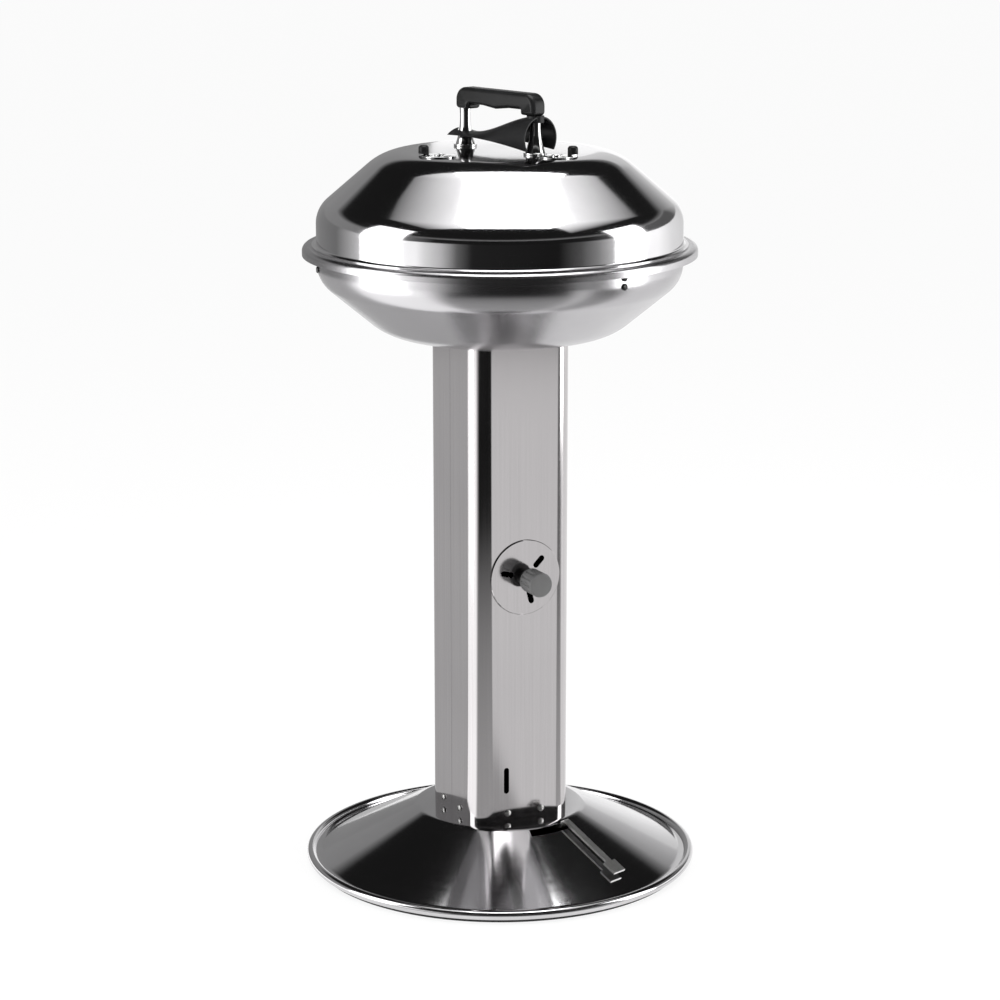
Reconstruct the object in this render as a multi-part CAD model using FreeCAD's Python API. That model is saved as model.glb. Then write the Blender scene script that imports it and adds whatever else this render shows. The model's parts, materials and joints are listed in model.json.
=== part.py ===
"""Pedestal charcoal grill: a spun bowl and lid on a square chimney column and a round domed base.

Millimetres, +Z up. The origin is on the floor, on the column's axis. The damper faces -Y.
"""
import FreeCAD, Part
import math
import os

from FreeCAD import Vector

# Sheet metal and fits
SHEET = 1.5
RUNNING_FIT = 0.05
SCREW_CLEARANCE = 0.2
SEAT_GAP = 0.1
REST_GAP = 0.3

# Base: domed dish on a rubber ring
BASE_LIFT = 5.0
FLOOR_RING_HEIGHT = 7.0
FLOOR_RING_WIDTH = 26.0
FLOOR_RING_RECESS = 10.5
BASE_RADIUS = 276.5
BASE_BEAD_RADIUS = 6.5
PLATEAU_RADIUS = 118.0
PLATEAU_HEIGHT = 80.0
PLATEAU_BEND = 25.0
BASE_FOOT_BEND = 18.0
BASE_FLANGE_WIDTH = 6.0
ASH_PAN_MARGIN = 3.0

# Column: two folded half shells with rounded corners
COLUMN_SIDE = 153.0
COLUMN_CORNER = 27.0
COLUMN_LENGTH = 674.0
SEAM_GAP = 0.4
SEAM_STRIP_WIDTH = 24.0
SEAM_STRIP_END_MARGIN = 60.0
COLLAR_SHEET = 2.0
COLLAR_HEIGHT = 30.0
COLLAR_FLANGE = 20.0
FOOT_SCREW_SPREAD = 52.0
FOOT_SCREW_HEIGHT = 10.0
TOP_FLANGE_SHEET = 3.0
TOP_FLANGE_SKIRT = 25.0
BOWL_BOLT_SPREAD = 104.0
LIGHTING_SLOT_WIDTH = 8.0
LIGHTING_SLOT_LENGTH = 38.0
LIGHTING_SLOT_OFFSET = -28.0
LIGHTING_SLOT_RISE = 58.0

# Bowl
RIM_RADIUS = 270.0
RIM_LIP = 13.0
RIM_BEND = 7.0
WALL_RADIUS = 250.0
FLANGE_BEND = 4.0
BOWL_WALL_HEIGHT = 46.0
BOWL_DEPTH = 129.0
BOWL_KNUCKLE_BEND = 40.0
BOWL_LOWER_RADIUS = 163.0
BOWL_LOWER_DEPTH = 117.0
BOWL_LOWER_BEND = 80.0
BOWL_FLOOR_RADIUS = 112.0
BOWL_FLOOR_BEND = 30.0
CHIMNEY_HOLE_RADIUS = 60.0

# Lid
LID_WALL_RADIUS = 250.5
LID_LIP_WIDTH = 6.5
LID_LIP_BEND = 3.0
LID_WALL_HEIGHT = 47.8
LID_KNUCKLE_BEND = 40.0
LID_TOP_CORNER_RADIUS = 158.0
LID_TOP_BEND = 80.0
LID_HEIGHT = 127.0
LID_TURN_ANGLE = 16.0

# Lid handle
POST_SPACING = 140.0
POST_HEIGHT = 50.0
POST_TOP_RADIUS = 8.0
POST_WAIST_RADIUS = 8.5
POST_FOOT_RADIUS = 13.5
POST_FLANGE_RADIUS = 16.0
POST_FLANGE_HEIGHT = 3.0
GRIP_LENGTH = 156.0
GRIP_WIDTH = 25.0
GRIP_DEPTH = 29.0
GRIP_RECESS = 7.0
GRIP_RECESS_LENGTH = 104.0
GRIP_FINGER_BUMP = 3.0
GRIP_TOP_BEND = 17.0
GRIP_END_BEND = 4.5
GRIP_RECESS_BEND = 3.0
GRIP_FINGER_BEND = 12.0
GRIP_EDGE = 6.0
SHIELD_SHEET = 2.0
SHIELD_LENGTH = 160.0
SHIELD_END_HALF_WIDTH = 25.0
SHIELD_WAIST_HALF_WIDTH = 22.0
SHIELD_FRONT_EDGE = 6.0
SHIELD_SHOULDER_PLACE = 20.0
SHIELD_SHOULDER_HEIGHT = 39.0
SHIELD_SHOULDER_EDGE = 12.5
SHIELD_DIP_PLACE = -36.0
SHIELD_DIP_HEIGHT = 23.0
SHIELD_REAR_HEIGHT = 25.0
SHIELD_REAR_EDGE = 16.0
SHIELD_CAP_WALL = 3.0
SHIELD_CAP_DEPTH = 9.0
SHIELD_POST_GAP = 2.0
HANDLE_SCREW_RADIUS = 3.0
HANDLE_SCREW_BITE = 14.0

# Lid vents
VENT_PITCH_RADIUS = 110.0
VENT_SHUTTER_RADIUS = 23.0
VENT_HOLE_RADIUS = 5.0
VENT_HOLE_CIRCLE = 14.0
VENT_HOLES = 3
VENT_RIVET_RADIUS = 3.0
VENT_RIVET_HEAD = 6.0
VENT_EAR_REACH = 31.0
VENT_EAR_WIDTH = 13.0
VENT_KNOB_RADIUS = 7.0
VENT_KNOB_HEIGHT = 11.0
VENTS = {"front": (0.0, 1), "side": (-90.0, -1)}

# Lid hook
HOOK_WIRE = 2.0
HOOK_WIDTH = 26.0
HOOK_REACH = 15.0
HOOK_RISE = 14.0
HOOK_LEG = 14.0
HOOK_BEND = 5.0

# Grates
GRATE_RADIUS = 236.0
GRATE_RING_WIRE = 3.0
GRATE_BAR_WIRE = 2.25
GRATE_PITCH = 17.0
GRATE_ROD_SHARE = 0.45
GRATE_TURN_ANGLE = 11.0
GRATE_HANDLE_WIDTH = 60.0
GRATE_HANDLE_HEIGHT = 43.0
GRATE_HANDLE_WIRE = 2.5
GRATE_HANDLE_BEND = 9.0
FIRE_GRATE_RADIUS = 185.0
FIRE_GRATE_RING_WIRE = 3.0
FIRE_GRATE_BAR_WIRE = 3.0
FIRE_GRATE_PITCH = 20.0

# Brackets that carry the cooking grate
BRACKETS = 3
BRACKET_TURN_ANGLE = 14.0
BRACKET_WIDTH = 24.0
BRACKET_SHEET = 2.0
BRACKET_SHELF = 22.0
BRACKET_TOP_DROP = 10.0
BRACKET_BEND_DROP = 20.0
BRACKET_SHELF_DROP = 36.0
BRACKET_INSET = 5.0
BRACKET_SCREW_DROPS = (17.0, 29.0)

# Damper on the column's front face
DAMPER_HEIGHT = 430.0
DAMPER_RADIUS = 53.0
DAMPER_SHEET = 2.0
DAMPER_SLOTS = 3
DAMPER_SLOT_LENGTH = 20.0
DAMPER_SLOT_WIDTH = 8.0
DAMPER_SLOT_CIRCLE = 29.0
DAMPER_SLOT_ANGLE = 45.0
DAMPER_STEM_RADIUS = 4.0
DAMPER_SHOULDER_RADIUS = 10.0
DAMPER_STANDOFF = 15.0
DAMPER_KNOB_RADIUS = 17.0
DAMPER_KNOB_LENGTH = 33.0
DAMPER_KNOB_FLUTES = 12
DAMPER_KNOB_FLUTE_RADIUS = 2.6
DAMPER_KNOB_EDGE = 2.0
DAMPER_WASHER_RADIUS = 12.0
DAMPER_WASHER_SHEET = 1.5
DAMPER_NUT_SIZE = 13.0
DAMPER_NUT_HEIGHT = 6.5

# Ash sweeper at the column's foot
SPINDLE_RADIUS = 5.0
SPINDLE_HEAD_RADIUS = 8.0
SPINDLE_HEAD_HEIGHT = 4.0
BLADES = 3
BLADE_REACH = 48.0
BLADE_THICKNESS = 3.0
BLADE_HEIGHT = 10.0
HUB_RADIUS = 11.0
ASH_PORTS = 3
ASH_PORT_RADIUS = 17.0
ASH_PORT_CIRCLE = 31.0
LEVER_SHEET = 3.0
LEVER_WIDTH = 10.0
LEVER_STEP_RISE = 12.8
LEVER_STEP_RADIUS = 126.0
LEVER_STEP_CLEAR = 7.0
LEVER_BEND = 4.0
LEVER_REACH = 231.0
LEVER_TAB_LENGTH = 20.0
LEVER_TAB_WIDTH = 22.0
LEVER_REST_ANGLE = 19.0
LEVER_SWING_ANGLE = 23.0
LEVER_SLOT_WIDTH = 13.0
LEVER_SLOT_MARGIN = 2.0
LEVER_NUT_SIZE = 17.0
LEVER_NUT_HEIGHT = 8.0

# Small screws and rivets
SCREW_RADIUS = 2.5
SCREW_HEAD_RADIUS = 4.5
SCREW_HEAD_HEIGHT = 2.5

# Levels that follow from the sizes above
COLUMN_FOOT_Z = PLATEAU_HEIGHT
BOWL_FLOOR_Z = COLUMN_FOOT_Z + COLUMN_LENGTH
RIM_Z = BOWL_FLOOR_Z + BOWL_DEPTH
LID_TOP_Z = RIM_Z + LID_HEIGHT
FACE_Y = -COLUMN_SIDE / 2
COLUMN_INSIDE = COLUMN_SIDE - 2 * SHEET
UP = Vector(0, 0, 1)
ORIGIN = Vector(0, 0, 0)


def direction(turn):
    """Horizontal unit vector, turned from the front (-Y) towards +X by an angle in degrees."""
    return Vector(math.sin(math.radians(turn)), -math.cos(math.radians(turn)), 0)


def turned(shape, angle):
    """Copy of a shape turned about the vertical axis."""
    copy = shape.copy()
    copy.rotate(ORIGIN, UP, angle)
    return copy


def lifted(shape, height):
    """Copy of a shape raised by a height."""
    copy = shape.copy()
    copy.translate(Vector(0, 0, height))
    return copy


def rod(start, end, radius):
    """Straight round bar between two points."""
    return Part.makeCylinder(radius, (end - start).Length, start, end - start)


def ring(outer, inner, height, base):
    """Flat washer with its underside at a point."""
    return Part.makeCylinder(outer, height, base).cut(Part.makeCylinder(inner, height, base))


def cut_all(shape, tools):
    """Shape with every tool cut away."""
    return shape.cut(Part.makeCompound(tools)) if tools else shape


def corner_arc(before, corner, after, radius):
    """Start, middle and end of the arc that rounds one corner of a path."""
    back = (before - corner).normalize()
    ahead = (after - corner).normalize()
    half = back.getAngle(ahead) / 2
    run = radius / math.tan(half)
    inward = (back + ahead).normalize()
    middle = corner + inward * (radius / math.sin(half) - radius)
    return corner + back * run, middle, corner + ahead * run


def rounded_path(points, bends):
    """Edges through points, with each inner corner rounded by its bend radius (0 keeps it sharp)."""
    edges = []
    at = points[0]
    for before, corner, after, bend in zip(points, points[1:], points[2:], bends):
        if bend > 0:
            start, middle, end = corner_arc(before, corner, after, bend)
            edges.append(Part.LineSegment(at, start).toShape())
            edges.append(Part.Arc(start, middle, end).toShape())
        else:
            end = corner
            edges.append(Part.LineSegment(at, end).toShape())
        at = end
    edges.append(Part.LineSegment(at, points[-1]).toShape())
    return edges


def flat(points):
    """Radius and height pairs as points in the XZ plane."""
    return [Vector(r, 0, z) for r, z in points]


def offset_path(points, distance):
    """Path moved sideways by a distance, to the left of its direction in the XZ plane."""
    normals = []
    for a, b in zip(points, points[1:]):
        run = (b - a).normalize()
        normals.append(Vector(-run.z, 0, run.x))
    moved = [points[0] + normals[0] * distance]
    for point, one, two in zip(points[1:], normals, normals[1:]):
        middle = (one + two).normalize()
        moved.append(point + middle * (distance / middle.dot(one)))
    moved.append(points[-1] + normals[-1] * distance)
    return moved


def sheet_face(points, bends, thickness):
    """Section of a bent sheet: the path is one side, and its left-hand offset is the other."""
    path = flat(points)
    other = offset_path(path, thickness)
    inner_bends = []
    for a, b, c, bend in zip(path, path[1:], path[2:], bends):
        left_turn = (b - a).cross(c - b).y < 0
        inner_bends.append(0 if bend == 0 else bend - thickness if left_turn else bend + thickness)
    edges = rounded_path(path, bends)
    edges.append(Part.LineSegment(path[-1], other[-1]).toShape())
    edges += rounded_path(other[::-1], inner_bends[::-1])
    edges.append(Part.LineSegment(other[0], path[0]).toShape())
    return Part.Face(Part.Wire(Part.__sortEdges__(edges)))


def spun(points, bends, thickness):
    """Spun shell: a bent sheet section revolved about the vertical axis."""
    return sheet_face(points, bends, thickness).revolve(ORIGIN, UP, 360)


def rounded_square(side, corner, base_z, height):
    """Square bar with rounded upright edges."""
    box = Part.makeBox(side, side, height, Vector(-side / 2, -side / 2, base_z))
    upright = [e for e in box.Edges if abs(e.Vertexes[0].Z - e.Vertexes[1].Z) > height / 2]
    return box.makeFillet(corner, upright)


def square_tube(side, corner, sheet, base_z, height):
    """Square tube with rounded corners."""
    outer = rounded_square(side, corner, base_z, height)
    return outer.cut(rounded_square(side - 2 * sheet, corner - sheet, base_z, height))


def slot(length, width, depth):
    """Round-ended slot cutter along X, centred, cutting along Y."""
    straight = length - width
    body = Part.makeBox(straight, depth, width, Vector(-straight / 2, -depth / 2, -width / 2))
    for side in (-1, 1):
        start = Vector(side * straight / 2, -depth / 2, 0)
        body = body.fuse(Part.makeCylinder(width / 2, depth, start, Vector(0, 1, 0)))
    return body


def wire_form(points, bend, radius):
    """Round wire bent along a path of points."""
    path = Part.Wire(rounded_path(points, [bend] * (len(points) - 2)))
    section = Part.Wire(Part.makeCircle(radius, points[0], points[1] - points[0]))
    return path.makePipeShell([section], True, False)


def screw(face, outward, bite):
    """Round-headed screw: its head stands on a face and its shank goes in by a length."""
    head = Part.makeCylinder(SCREW_HEAD_RADIUS, SCREW_HEAD_HEIGHT, face, outward)
    crown = [e for e in head.Edges if (e.CenterOfMass - face).Length > SCREW_HEAD_HEIGHT * 0.9
             and e.Closed]
    head = head.makeChamfer(SCREW_HEAD_HEIGHT * 0.45, crown)
    return head.fuse(Part.makeCylinder(SCREW_RADIUS, bite, face, outward * -1))


def screw_hole(face, outward, bite):
    """Clearance hole for a screw, through what lies just behind its head."""
    return Part.makeCylinder(SCREW_RADIUS + SCREW_CLEARANCE, bite + SHEET, face + outward * SHEET,
                             outward * -1)


def hexagon(size, height, base):
    """Hexagon nut blank of a size across flats, with its underside at a point."""
    corner = size / math.sqrt(3)
    points = [base + Vector(corner * math.cos(math.radians(60 * i)),
                            corner * math.sin(math.radians(60 * i)), 0) for i in range(7)]
    return Part.Face(Part.makePolygon(points)).extrude(UP * height)


def on_front_face(shape):
    """Shape drawn about the vertical axis, laid so that its +Z points out of the column's front face."""
    copy = shape.copy()
    copy.rotate(ORIGIN, Vector(1, 0, 0), 90)
    copy.translate(Vector(0, FACE_Y, DAMPER_HEIGHT))
    return copy


def knob_flutes(base):
    """Cutters for the finger flutes round the damper's knob, which stop short of its rounded ends."""
    margin = 2 * DAMPER_KNOB_EDGE
    start = Vector(DAMPER_KNOB_RADIUS + DAMPER_KNOB_FLUTE_RADIUS / 2, 0, base + margin)
    flute = Part.makeCylinder(DAMPER_KNOB_FLUTE_RADIUS, DAMPER_KNOB_LENGTH - 2 * margin, start)
    return [turned(flute, i * 360 / DAMPER_KNOB_FLUTES) for i in range(DAMPER_KNOB_FLUTES)]


def damper_slots(depth):
    """Cutters for the damper's radial slots, drawn about the vertical axis."""
    one = slot(DAMPER_SLOT_LENGTH, DAMPER_SLOT_WIDTH, depth)
    one.rotate(ORIGIN, Vector(1, 0, 0), 90)
    one.translate(Vector(DAMPER_SLOT_CIRCLE, 0, 0))
    return [turned(one, DAMPER_SLOT_ANGLE + i * 360 / DAMPER_SLOTS) for i in range(DAMPER_SLOTS)]


def lever_slot():
    """Arc-shaped cutter in the dome for the sweeper's lever."""
    inner = LEVER_STEP_RADIUS + LEVER_SHEET / 2 - LEVER_SLOT_WIDTH / 2
    margin = math.degrees((LEVER_WIDTH / 2 + LEVER_SLOT_MARGIN) / inner)
    section = Part.Face(Part.makePolygon(flat([
        (inner, 0), (inner + LEVER_SLOT_WIDTH, 0),
        (inner + LEVER_SLOT_WIDTH, 2 * PLATEAU_HEIGHT), (inner, 2 * PLATEAU_HEIGHT), (inner, 0)])))
    cutter = section.revolve(ORIGIN, UP, LEVER_SWING_ANGLE + 2 * margin)
    return turned(cutter, LEVER_REST_ANGLE - LEVER_SWING_ANGLE - margin - 90)


def collar_opening():
    """Side of the square hole that the foot collar's flange leaves."""
    return COLUMN_INSIDE - 2 * COLLAR_SHEET - 2 * COLLAR_FLANGE


def base_bolt_points():
    """Middles of the foot collar's flange across its corners, where it is bolted to the dome."""
    corner = COLUMN_CORNER - SHEET
    wall = COLUMN_INSIDE / 2 - corner + (corner - COLLAR_SHEET) * math.sqrt(0.5)
    edge = collar_opening() / 2 - corner + corner * math.sqrt(0.5)
    reach = (wall + edge) / 2
    return [Vector(x * reach, y * reach, COLUMN_FOOT_Z) for x in (-1, 1) for y in (-1, 1)]


def dome_points():
    """Upper side of the base dish, from its rim to the axis."""
    bead_z = BASE_LIFT + BASE_BEAD_RADIUS
    bead_centre = BASE_RADIUS - BASE_BEAD_RADIUS
    top = bead_z + SHEET / 2
    return [(bead_centre, top), (bead_centre - BASE_BEAD_RADIUS - BASE_FLANGE_WIDTH, top),
            (PLATEAU_RADIUS, PLATEAU_HEIGHT), (0, PLATEAU_HEIGHT)]


def dome_slope():
    """Fall of the dome per unit of radius."""
    (_, _), (r0, z0), (r1, z1), (_, _) = dome_points()
    return (z1 - z0) / (r0 - r1)


def base_dish():
    """Domed base with a wired edge, ash ports, the lever's arc slot and bolt holes."""
    dome = spun(dome_points(), [BASE_FOOT_BEND, PLATEAU_BEND], SHEET)
    bead = Part.makeTorus(BASE_RADIUS - BASE_BEAD_RADIUS, BASE_BEAD_RADIUS,
                          Vector(0, 0, BASE_LIFT + BASE_BEAD_RADIUS))
    depth = 4 * SHEET
    low = Vector(0, 0, PLATEAU_HEIGHT - depth / 2)
    tools = [Part.makeCylinder(SPINDLE_RADIUS + RUNNING_FIT, depth, low), lever_slot()]
    tools += [Part.makeCylinder(ASH_PORT_RADIUS, depth,
                                low + direction(i * 360 / ASH_PORTS) * ASH_PORT_CIRCLE)
              for i in range(ASH_PORTS)]
    tools += [screw_hole(p, UP, depth) for p in base_bolt_points()]
    return cut_all(dome.fuse(bead), tools)


def floor_ring():
    """Rubber ring under the rim, with an inner ledge for the ash pan."""
    outer = BASE_RADIUS - FLOOR_RING_RECESS
    body = ring(outer, outer - FLOOR_RING_WIDTH, FLOOR_RING_HEIGHT, ORIGIN)
    groove = Part.makeTorus(BASE_RADIUS - BASE_BEAD_RADIUS, BASE_BEAD_RADIUS + SEAT_GAP,
                            Vector(0, 0, BASE_LIFT + BASE_BEAD_RADIUS))
    return body.cut(groove)


def ash_pan():
    """Shallow pan that closes the base from below and catches the ash."""
    ledge_outer = BASE_RADIUS - 2 * BASE_BEAD_RADIUS
    wall = BASE_RADIUS - FLOOR_RING_RECESS - FLOOR_RING_WIDTH - ASH_PAN_MARGIN
    low = FLOOR_RING_HEIGHT + SHEET - ASH_PAN_MARGIN
    return spun([(ledge_outer - ASH_PAN_MARGIN, FLOOR_RING_HEIGHT), (wall, FLOOR_RING_HEIGHT),
                 (wall, low), (0, low)], [0, 0], -SHEET)


def column_shells():
    """Front and rear half shells, split at the middle of the side faces."""
    tube = square_tube(COLUMN_SIDE, COLUMN_CORNER, SHEET, COLUMN_FOOT_Z, COLUMN_LENGTH)
    lighting = slot(LIGHTING_SLOT_LENGTH, LIGHTING_SLOT_WIDTH, 4 * SHEET)
    lighting.rotate(ORIGIN, Vector(0, 1, 0), 90)
    lighting.translate(Vector(LIGHTING_SLOT_OFFSET, FACE_Y, COLUMN_FOOT_Z + LIGHTING_SLOT_RISE))
    tools = [on_front_face(t) for t in damper_slots(4 * SHEET)] + [lighting]
    tools.append(on_front_face(Part.makeCylinder(DAMPER_STEM_RADIUS + RUNNING_FIT, 4 * SHEET,
                                                 Vector(0, 0, -2 * SHEET))))
    tools += [screw_hole(p, out, 2 * SHEET) for p, out in foot_screw_places()]
    tube = cut_all(tube, tools)
    half = Part.makeBox(2 * COLUMN_SIDE, COLUMN_SIDE, 2 * COLUMN_LENGTH,
                        Vector(-COLUMN_SIDE, SEAM_GAP / 2, 0))
    return at_bends(tube.common(turned(half, 180))), at_bends(tube.common(half))


def at_bends(shell):
    """Folded shell as flat walls and half bends that touch, so that collision follows its inside."""
    inner, outer = COLUMN_SIDE / 2 - COLUMN_CORNER, COLUMN_SIDE
    outlines = [[(-inner, -outer), (inner, -outer), (inner, outer), (-inner, outer)]]
    for x in (-1, 1):
        outlines.append([(x * inner, -inner), (x * outer, -inner), (x * outer, inner), (x * inner, inner)])
        for y in (-1, 1):
            bend, far = (x * inner, y * inner), (x * outer, y * outer)
            outlines += [[bend, (x * outer, y * inner), far], [bend, far, (x * inner, y * outer)]]
    walls = []
    for outline in outlines:
        face = Part.Face(Part.makePolygon([Vector(x, y, COLUMN_FOOT_Z) for x, y in outline + outline[:1]]))
        walls += shell.common(face.extrude(UP * COLUMN_LENGTH)).Solids
    return Part.makeCompound(walls)


def foot_screw_places():
    """Points and outward directions of the screws low on each side of the column."""
    places = []
    for side in range(4):
        out = direction(90 * side)
        along = direction(90 * side + 90)
        for step in (-0.5, 0.5):
            point = out * (COLUMN_SIDE / 2) + along * (step * FOOT_SCREW_SPREAD)
            places.append((point + UP * (COLUMN_FOOT_Z + FOOT_SCREW_HEIGHT), out))
    return places


def seam_strips():
    """Flat straps inside the column that bridge its two seams."""
    low = COLUMN_FOOT_Z + COLLAR_HEIGHT + SEAM_STRIP_END_MARGIN / 2
    height = BOWL_FLOOR_Z - TOP_FLANGE_SKIRT - SEAM_STRIP_END_MARGIN / 2 - low
    strap = Part.makeBox(SHEET, SEAM_STRIP_WIDTH, height,
                         Vector(COLUMN_INSIDE / 2 - SHEET, -SEAM_STRIP_WIDTH / 2, low))
    return Part.makeCompound([strap, turned(strap, 180)])


def foot_collar():
    """Angle collar inside the column's foot, flanged inwards over the dome."""
    corner = COLUMN_CORNER - SHEET
    tube = square_tube(COLUMN_INSIDE, corner, COLLAR_SHEET, COLUMN_FOOT_Z, COLLAR_HEIGHT)
    flange = rounded_square(COLUMN_INSIDE, corner, COLUMN_FOOT_Z, COLLAR_SHEET)
    flange = flange.cut(rounded_square(collar_opening(), corner, COLUMN_FOOT_Z, COLLAR_SHEET))
    tools = [screw_hole(p, out, SHEET + COLLAR_SHEET) for p, out in foot_screw_places()]
    tools += [screw_hole(p + UP * COLLAR_SHEET, UP, COLLAR_SHEET) for p in base_bolt_points()]
    return cut_all(tube.fuse(flange).removeSplitter(), tools)


def top_flange():
    """Plate with a skirt inside the column's top, open for the draught, that carries the bowl."""
    corner = COLUMN_CORNER - SHEET
    low = BOWL_FLOOR_Z - TOP_FLANGE_SHEET
    plate = rounded_square(COLUMN_INSIDE, corner, low, TOP_FLANGE_SHEET)
    skirt = square_tube(COLUMN_INSIDE, corner, COLLAR_SHEET, low - TOP_FLANGE_SKIRT, TOP_FLANGE_SKIRT)
    tools = [Part.makeCylinder(CHIMNEY_HOLE_RADIUS, 2 * TOP_FLANGE_SHEET, UP * (low - SHEET))]
    tools += [screw_hole(p, UP, SHEET + TOP_FLANGE_SHEET) for p in bowl_bolt_points()]
    return cut_all(plate.fuse(skirt).removeSplitter(), tools)


def bowl_bolt_points():
    """Places of the bolts on the bowl's floor."""
    reach = BOWL_BOLT_SPREAD / 2
    return [Vector(x * reach, y * reach, BOWL_FLOOR_Z + SHEET) for x in (-1, 1) for y in (-1, 1)]


def bowl_points():
    """Inner side of the bowl, from the turned-down lip to the draught hole, as heights above the floor."""
    inside = WALL_RADIUS - SHEET
    return [(RIM_RADIUS, RIM_Z - RIM_LIP), (RIM_RADIUS, RIM_Z), (inside, RIM_Z),
            (inside, RIM_Z - BOWL_WALL_HEIGHT + SHEET),
            (BOWL_LOWER_RADIUS, RIM_Z - BOWL_LOWER_DEPTH + SHEET),
            (BOWL_FLOOR_RADIUS, BOWL_FLOOR_Z + SHEET), (CHIMNEY_HOLE_RADIUS, BOWL_FLOOR_Z + SHEET)]


def bowl_bends():
    """Bend radii at the bowl's corners."""
    return [RIM_BEND, FLANGE_BEND, BOWL_KNUCKLE_BEND, BOWL_LOWER_BEND, BOWL_FLOOR_BEND]


def bowl():
    """Spun bowl with a flanged rim, a draught hole and holes for its fasteners."""
    shell = spun(bowl_points(), bowl_bends(), SHEET)
    tools = [screw_hole(p, UP, 2 * SHEET) for p in bowl_bolt_points()]
    tools += [screw_hole(p, out, 2 * SHEET) for p, out in bracket_screw_places()]
    return cut_all(shell, tools)


def bracket_screw_places():
    """Points and outward directions of the bracket screws on the bowl's wall."""
    return [(direction(BRACKET_TURN_ANGLE + i * 360 / BRACKETS) * WALL_RADIUS + UP * (RIM_Z - drop),
             direction(BRACKET_TURN_ANGLE + i * 360 / BRACKETS))
            for i in range(BRACKETS) for drop in BRACKET_SCREW_DROPS]


def bracket_screw_bite():
    """Length of a bracket screw behind its head, through the wall and the sloping leg."""
    return SHEET + BRACKET_SHEET + BRACKET_INSET


def grate_bracket(turn):
    """Angle bracket inside the bowl's wall: an upright leg and a shelf for the grate."""
    wall = WALL_RADIUS - SHEET - SEAT_GAP
    shelf = RIM_Z - BRACKET_SHELF_DROP
    low = shelf - BRACKET_SHEET
    section = sheet_face([(wall, RIM_Z - BRACKET_TOP_DROP), (wall, RIM_Z - BRACKET_BEND_DROP),
                          (wall - BRACKET_INSET, low), (wall - BRACKET_SHELF, low)],
                         [0, 0], -BRACKET_SHEET)
    angle = math.degrees(BRACKET_WIDTH / wall)
    bracket = turned(section.revolve(ORIGIN, UP, angle), turn - 90 - angle / 2)
    tools = [screw_hole(p, out, bracket_screw_bite() + SHEET) for p, out in bracket_screw_places()]
    return cut_all(bracket, tools)


def parallel_bars(radius, pitch, wire, height):
    """Straight bars along Y that fill a circle at a pitch."""
    count = int(2 * (radius - pitch / 2) / pitch)
    bars = []
    for i in range(count):
        x = (i - (count - 1) / 2) * pitch
        reach = math.sqrt(radius ** 2 - x ** 2)
        bars.append(rod(Vector(x, -reach, height), Vector(x, reach, height), wire))
    return bars


def grate_ring_z():
    """Height of the cooking grate's ring when it lies on the brackets."""
    return RIM_Z - BRACKET_SHELF_DROP + GRATE_RING_WIRE + REST_GAP


def cross_rods(radius, wire, height):
    """Two rods under the bars, butted against the inside of the ring."""
    rods = []
    for side in (-1, 1):
        y = side * radius * GRATE_ROD_SHARE
        reach = math.sqrt((radius - GRATE_RING_WIRE - SEAT_GAP) ** 2 - (abs(y) + wire) ** 2)
        rods.append(rod(Vector(-reach, y, height), Vector(reach, y, height), wire))
    return rods


def cooking_grate():
    """Ring, bars and cross rods of the cooking grate, as separate shapes."""
    z = grate_ring_z()
    bar_z = z + GRATE_RING_WIRE + GRATE_BAR_WIRE + SEAT_GAP
    hoop = Part.makeTorus(GRATE_RADIUS, GRATE_RING_WIRE, UP * z)
    bars = Part.makeCompound(parallel_bars(GRATE_RADIUS, GRATE_PITCH, GRATE_BAR_WIRE, bar_z))
    rods = Part.makeCompound(cross_rods(GRATE_RADIUS, GRATE_RING_WIRE, z))
    return [turned(s, GRATE_TURN_ANGLE) for s in (hoop, bars, rods)]


def grate_handle(side):
    """Bent wire loop that stands on the grate's ring at one side."""
    half = GRATE_HANDLE_WIDTH / 2
    x = side * math.sqrt(GRATE_RADIUS ** 2 - half ** 2)
    foot = grate_ring_z() + GRATE_RING_WIRE + SEAT_GAP
    top = foot + GRATE_HANDLE_HEIGHT
    points = [Vector(x, -half, foot), Vector(x, -half, top), Vector(x, half, top), Vector(x, half, foot)]
    return turned(wire_form(points, GRATE_HANDLE_BEND, GRATE_HANDLE_WIRE), GRATE_TURN_ANGLE)


def fire_grate():
    """Ring and bars of the charcoal grate, which rests on the bowl's cone."""
    (r0, z0), (r1, z1) = bowl_points()[3:5]
    slope = math.atan2(z0 - z1, r0 - r1)
    cone_z = z1 + (FIRE_GRATE_RADIUS - r1) * math.tan(slope)
    z = cone_z + (FIRE_GRATE_RING_WIRE + SEAT_GAP) / math.cos(slope)
    bar_z = z + FIRE_GRATE_RING_WIRE + FIRE_GRATE_BAR_WIRE + SEAT_GAP
    hoop = Part.makeTorus(FIRE_GRATE_RADIUS, FIRE_GRATE_RING_WIRE, UP * z)
    bars = parallel_bars(FIRE_GRATE_RADIUS, FIRE_GRATE_PITCH, FIRE_GRATE_BAR_WIRE, bar_z)
    return hoop, turned(Part.makeCompound(bars), 90)


def lid_points():
    """Outer side of the lid, from its lip to the axis, as heights above the floor."""
    return [(LID_WALL_RADIUS + LID_LIP_WIDTH, RIM_Z + SHEET), (LID_WALL_RADIUS, RIM_Z + SHEET),
            (LID_WALL_RADIUS, RIM_Z + LID_WALL_HEIGHT), (LID_TOP_CORNER_RADIUS, LID_TOP_Z), (0, LID_TOP_Z)]


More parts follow.
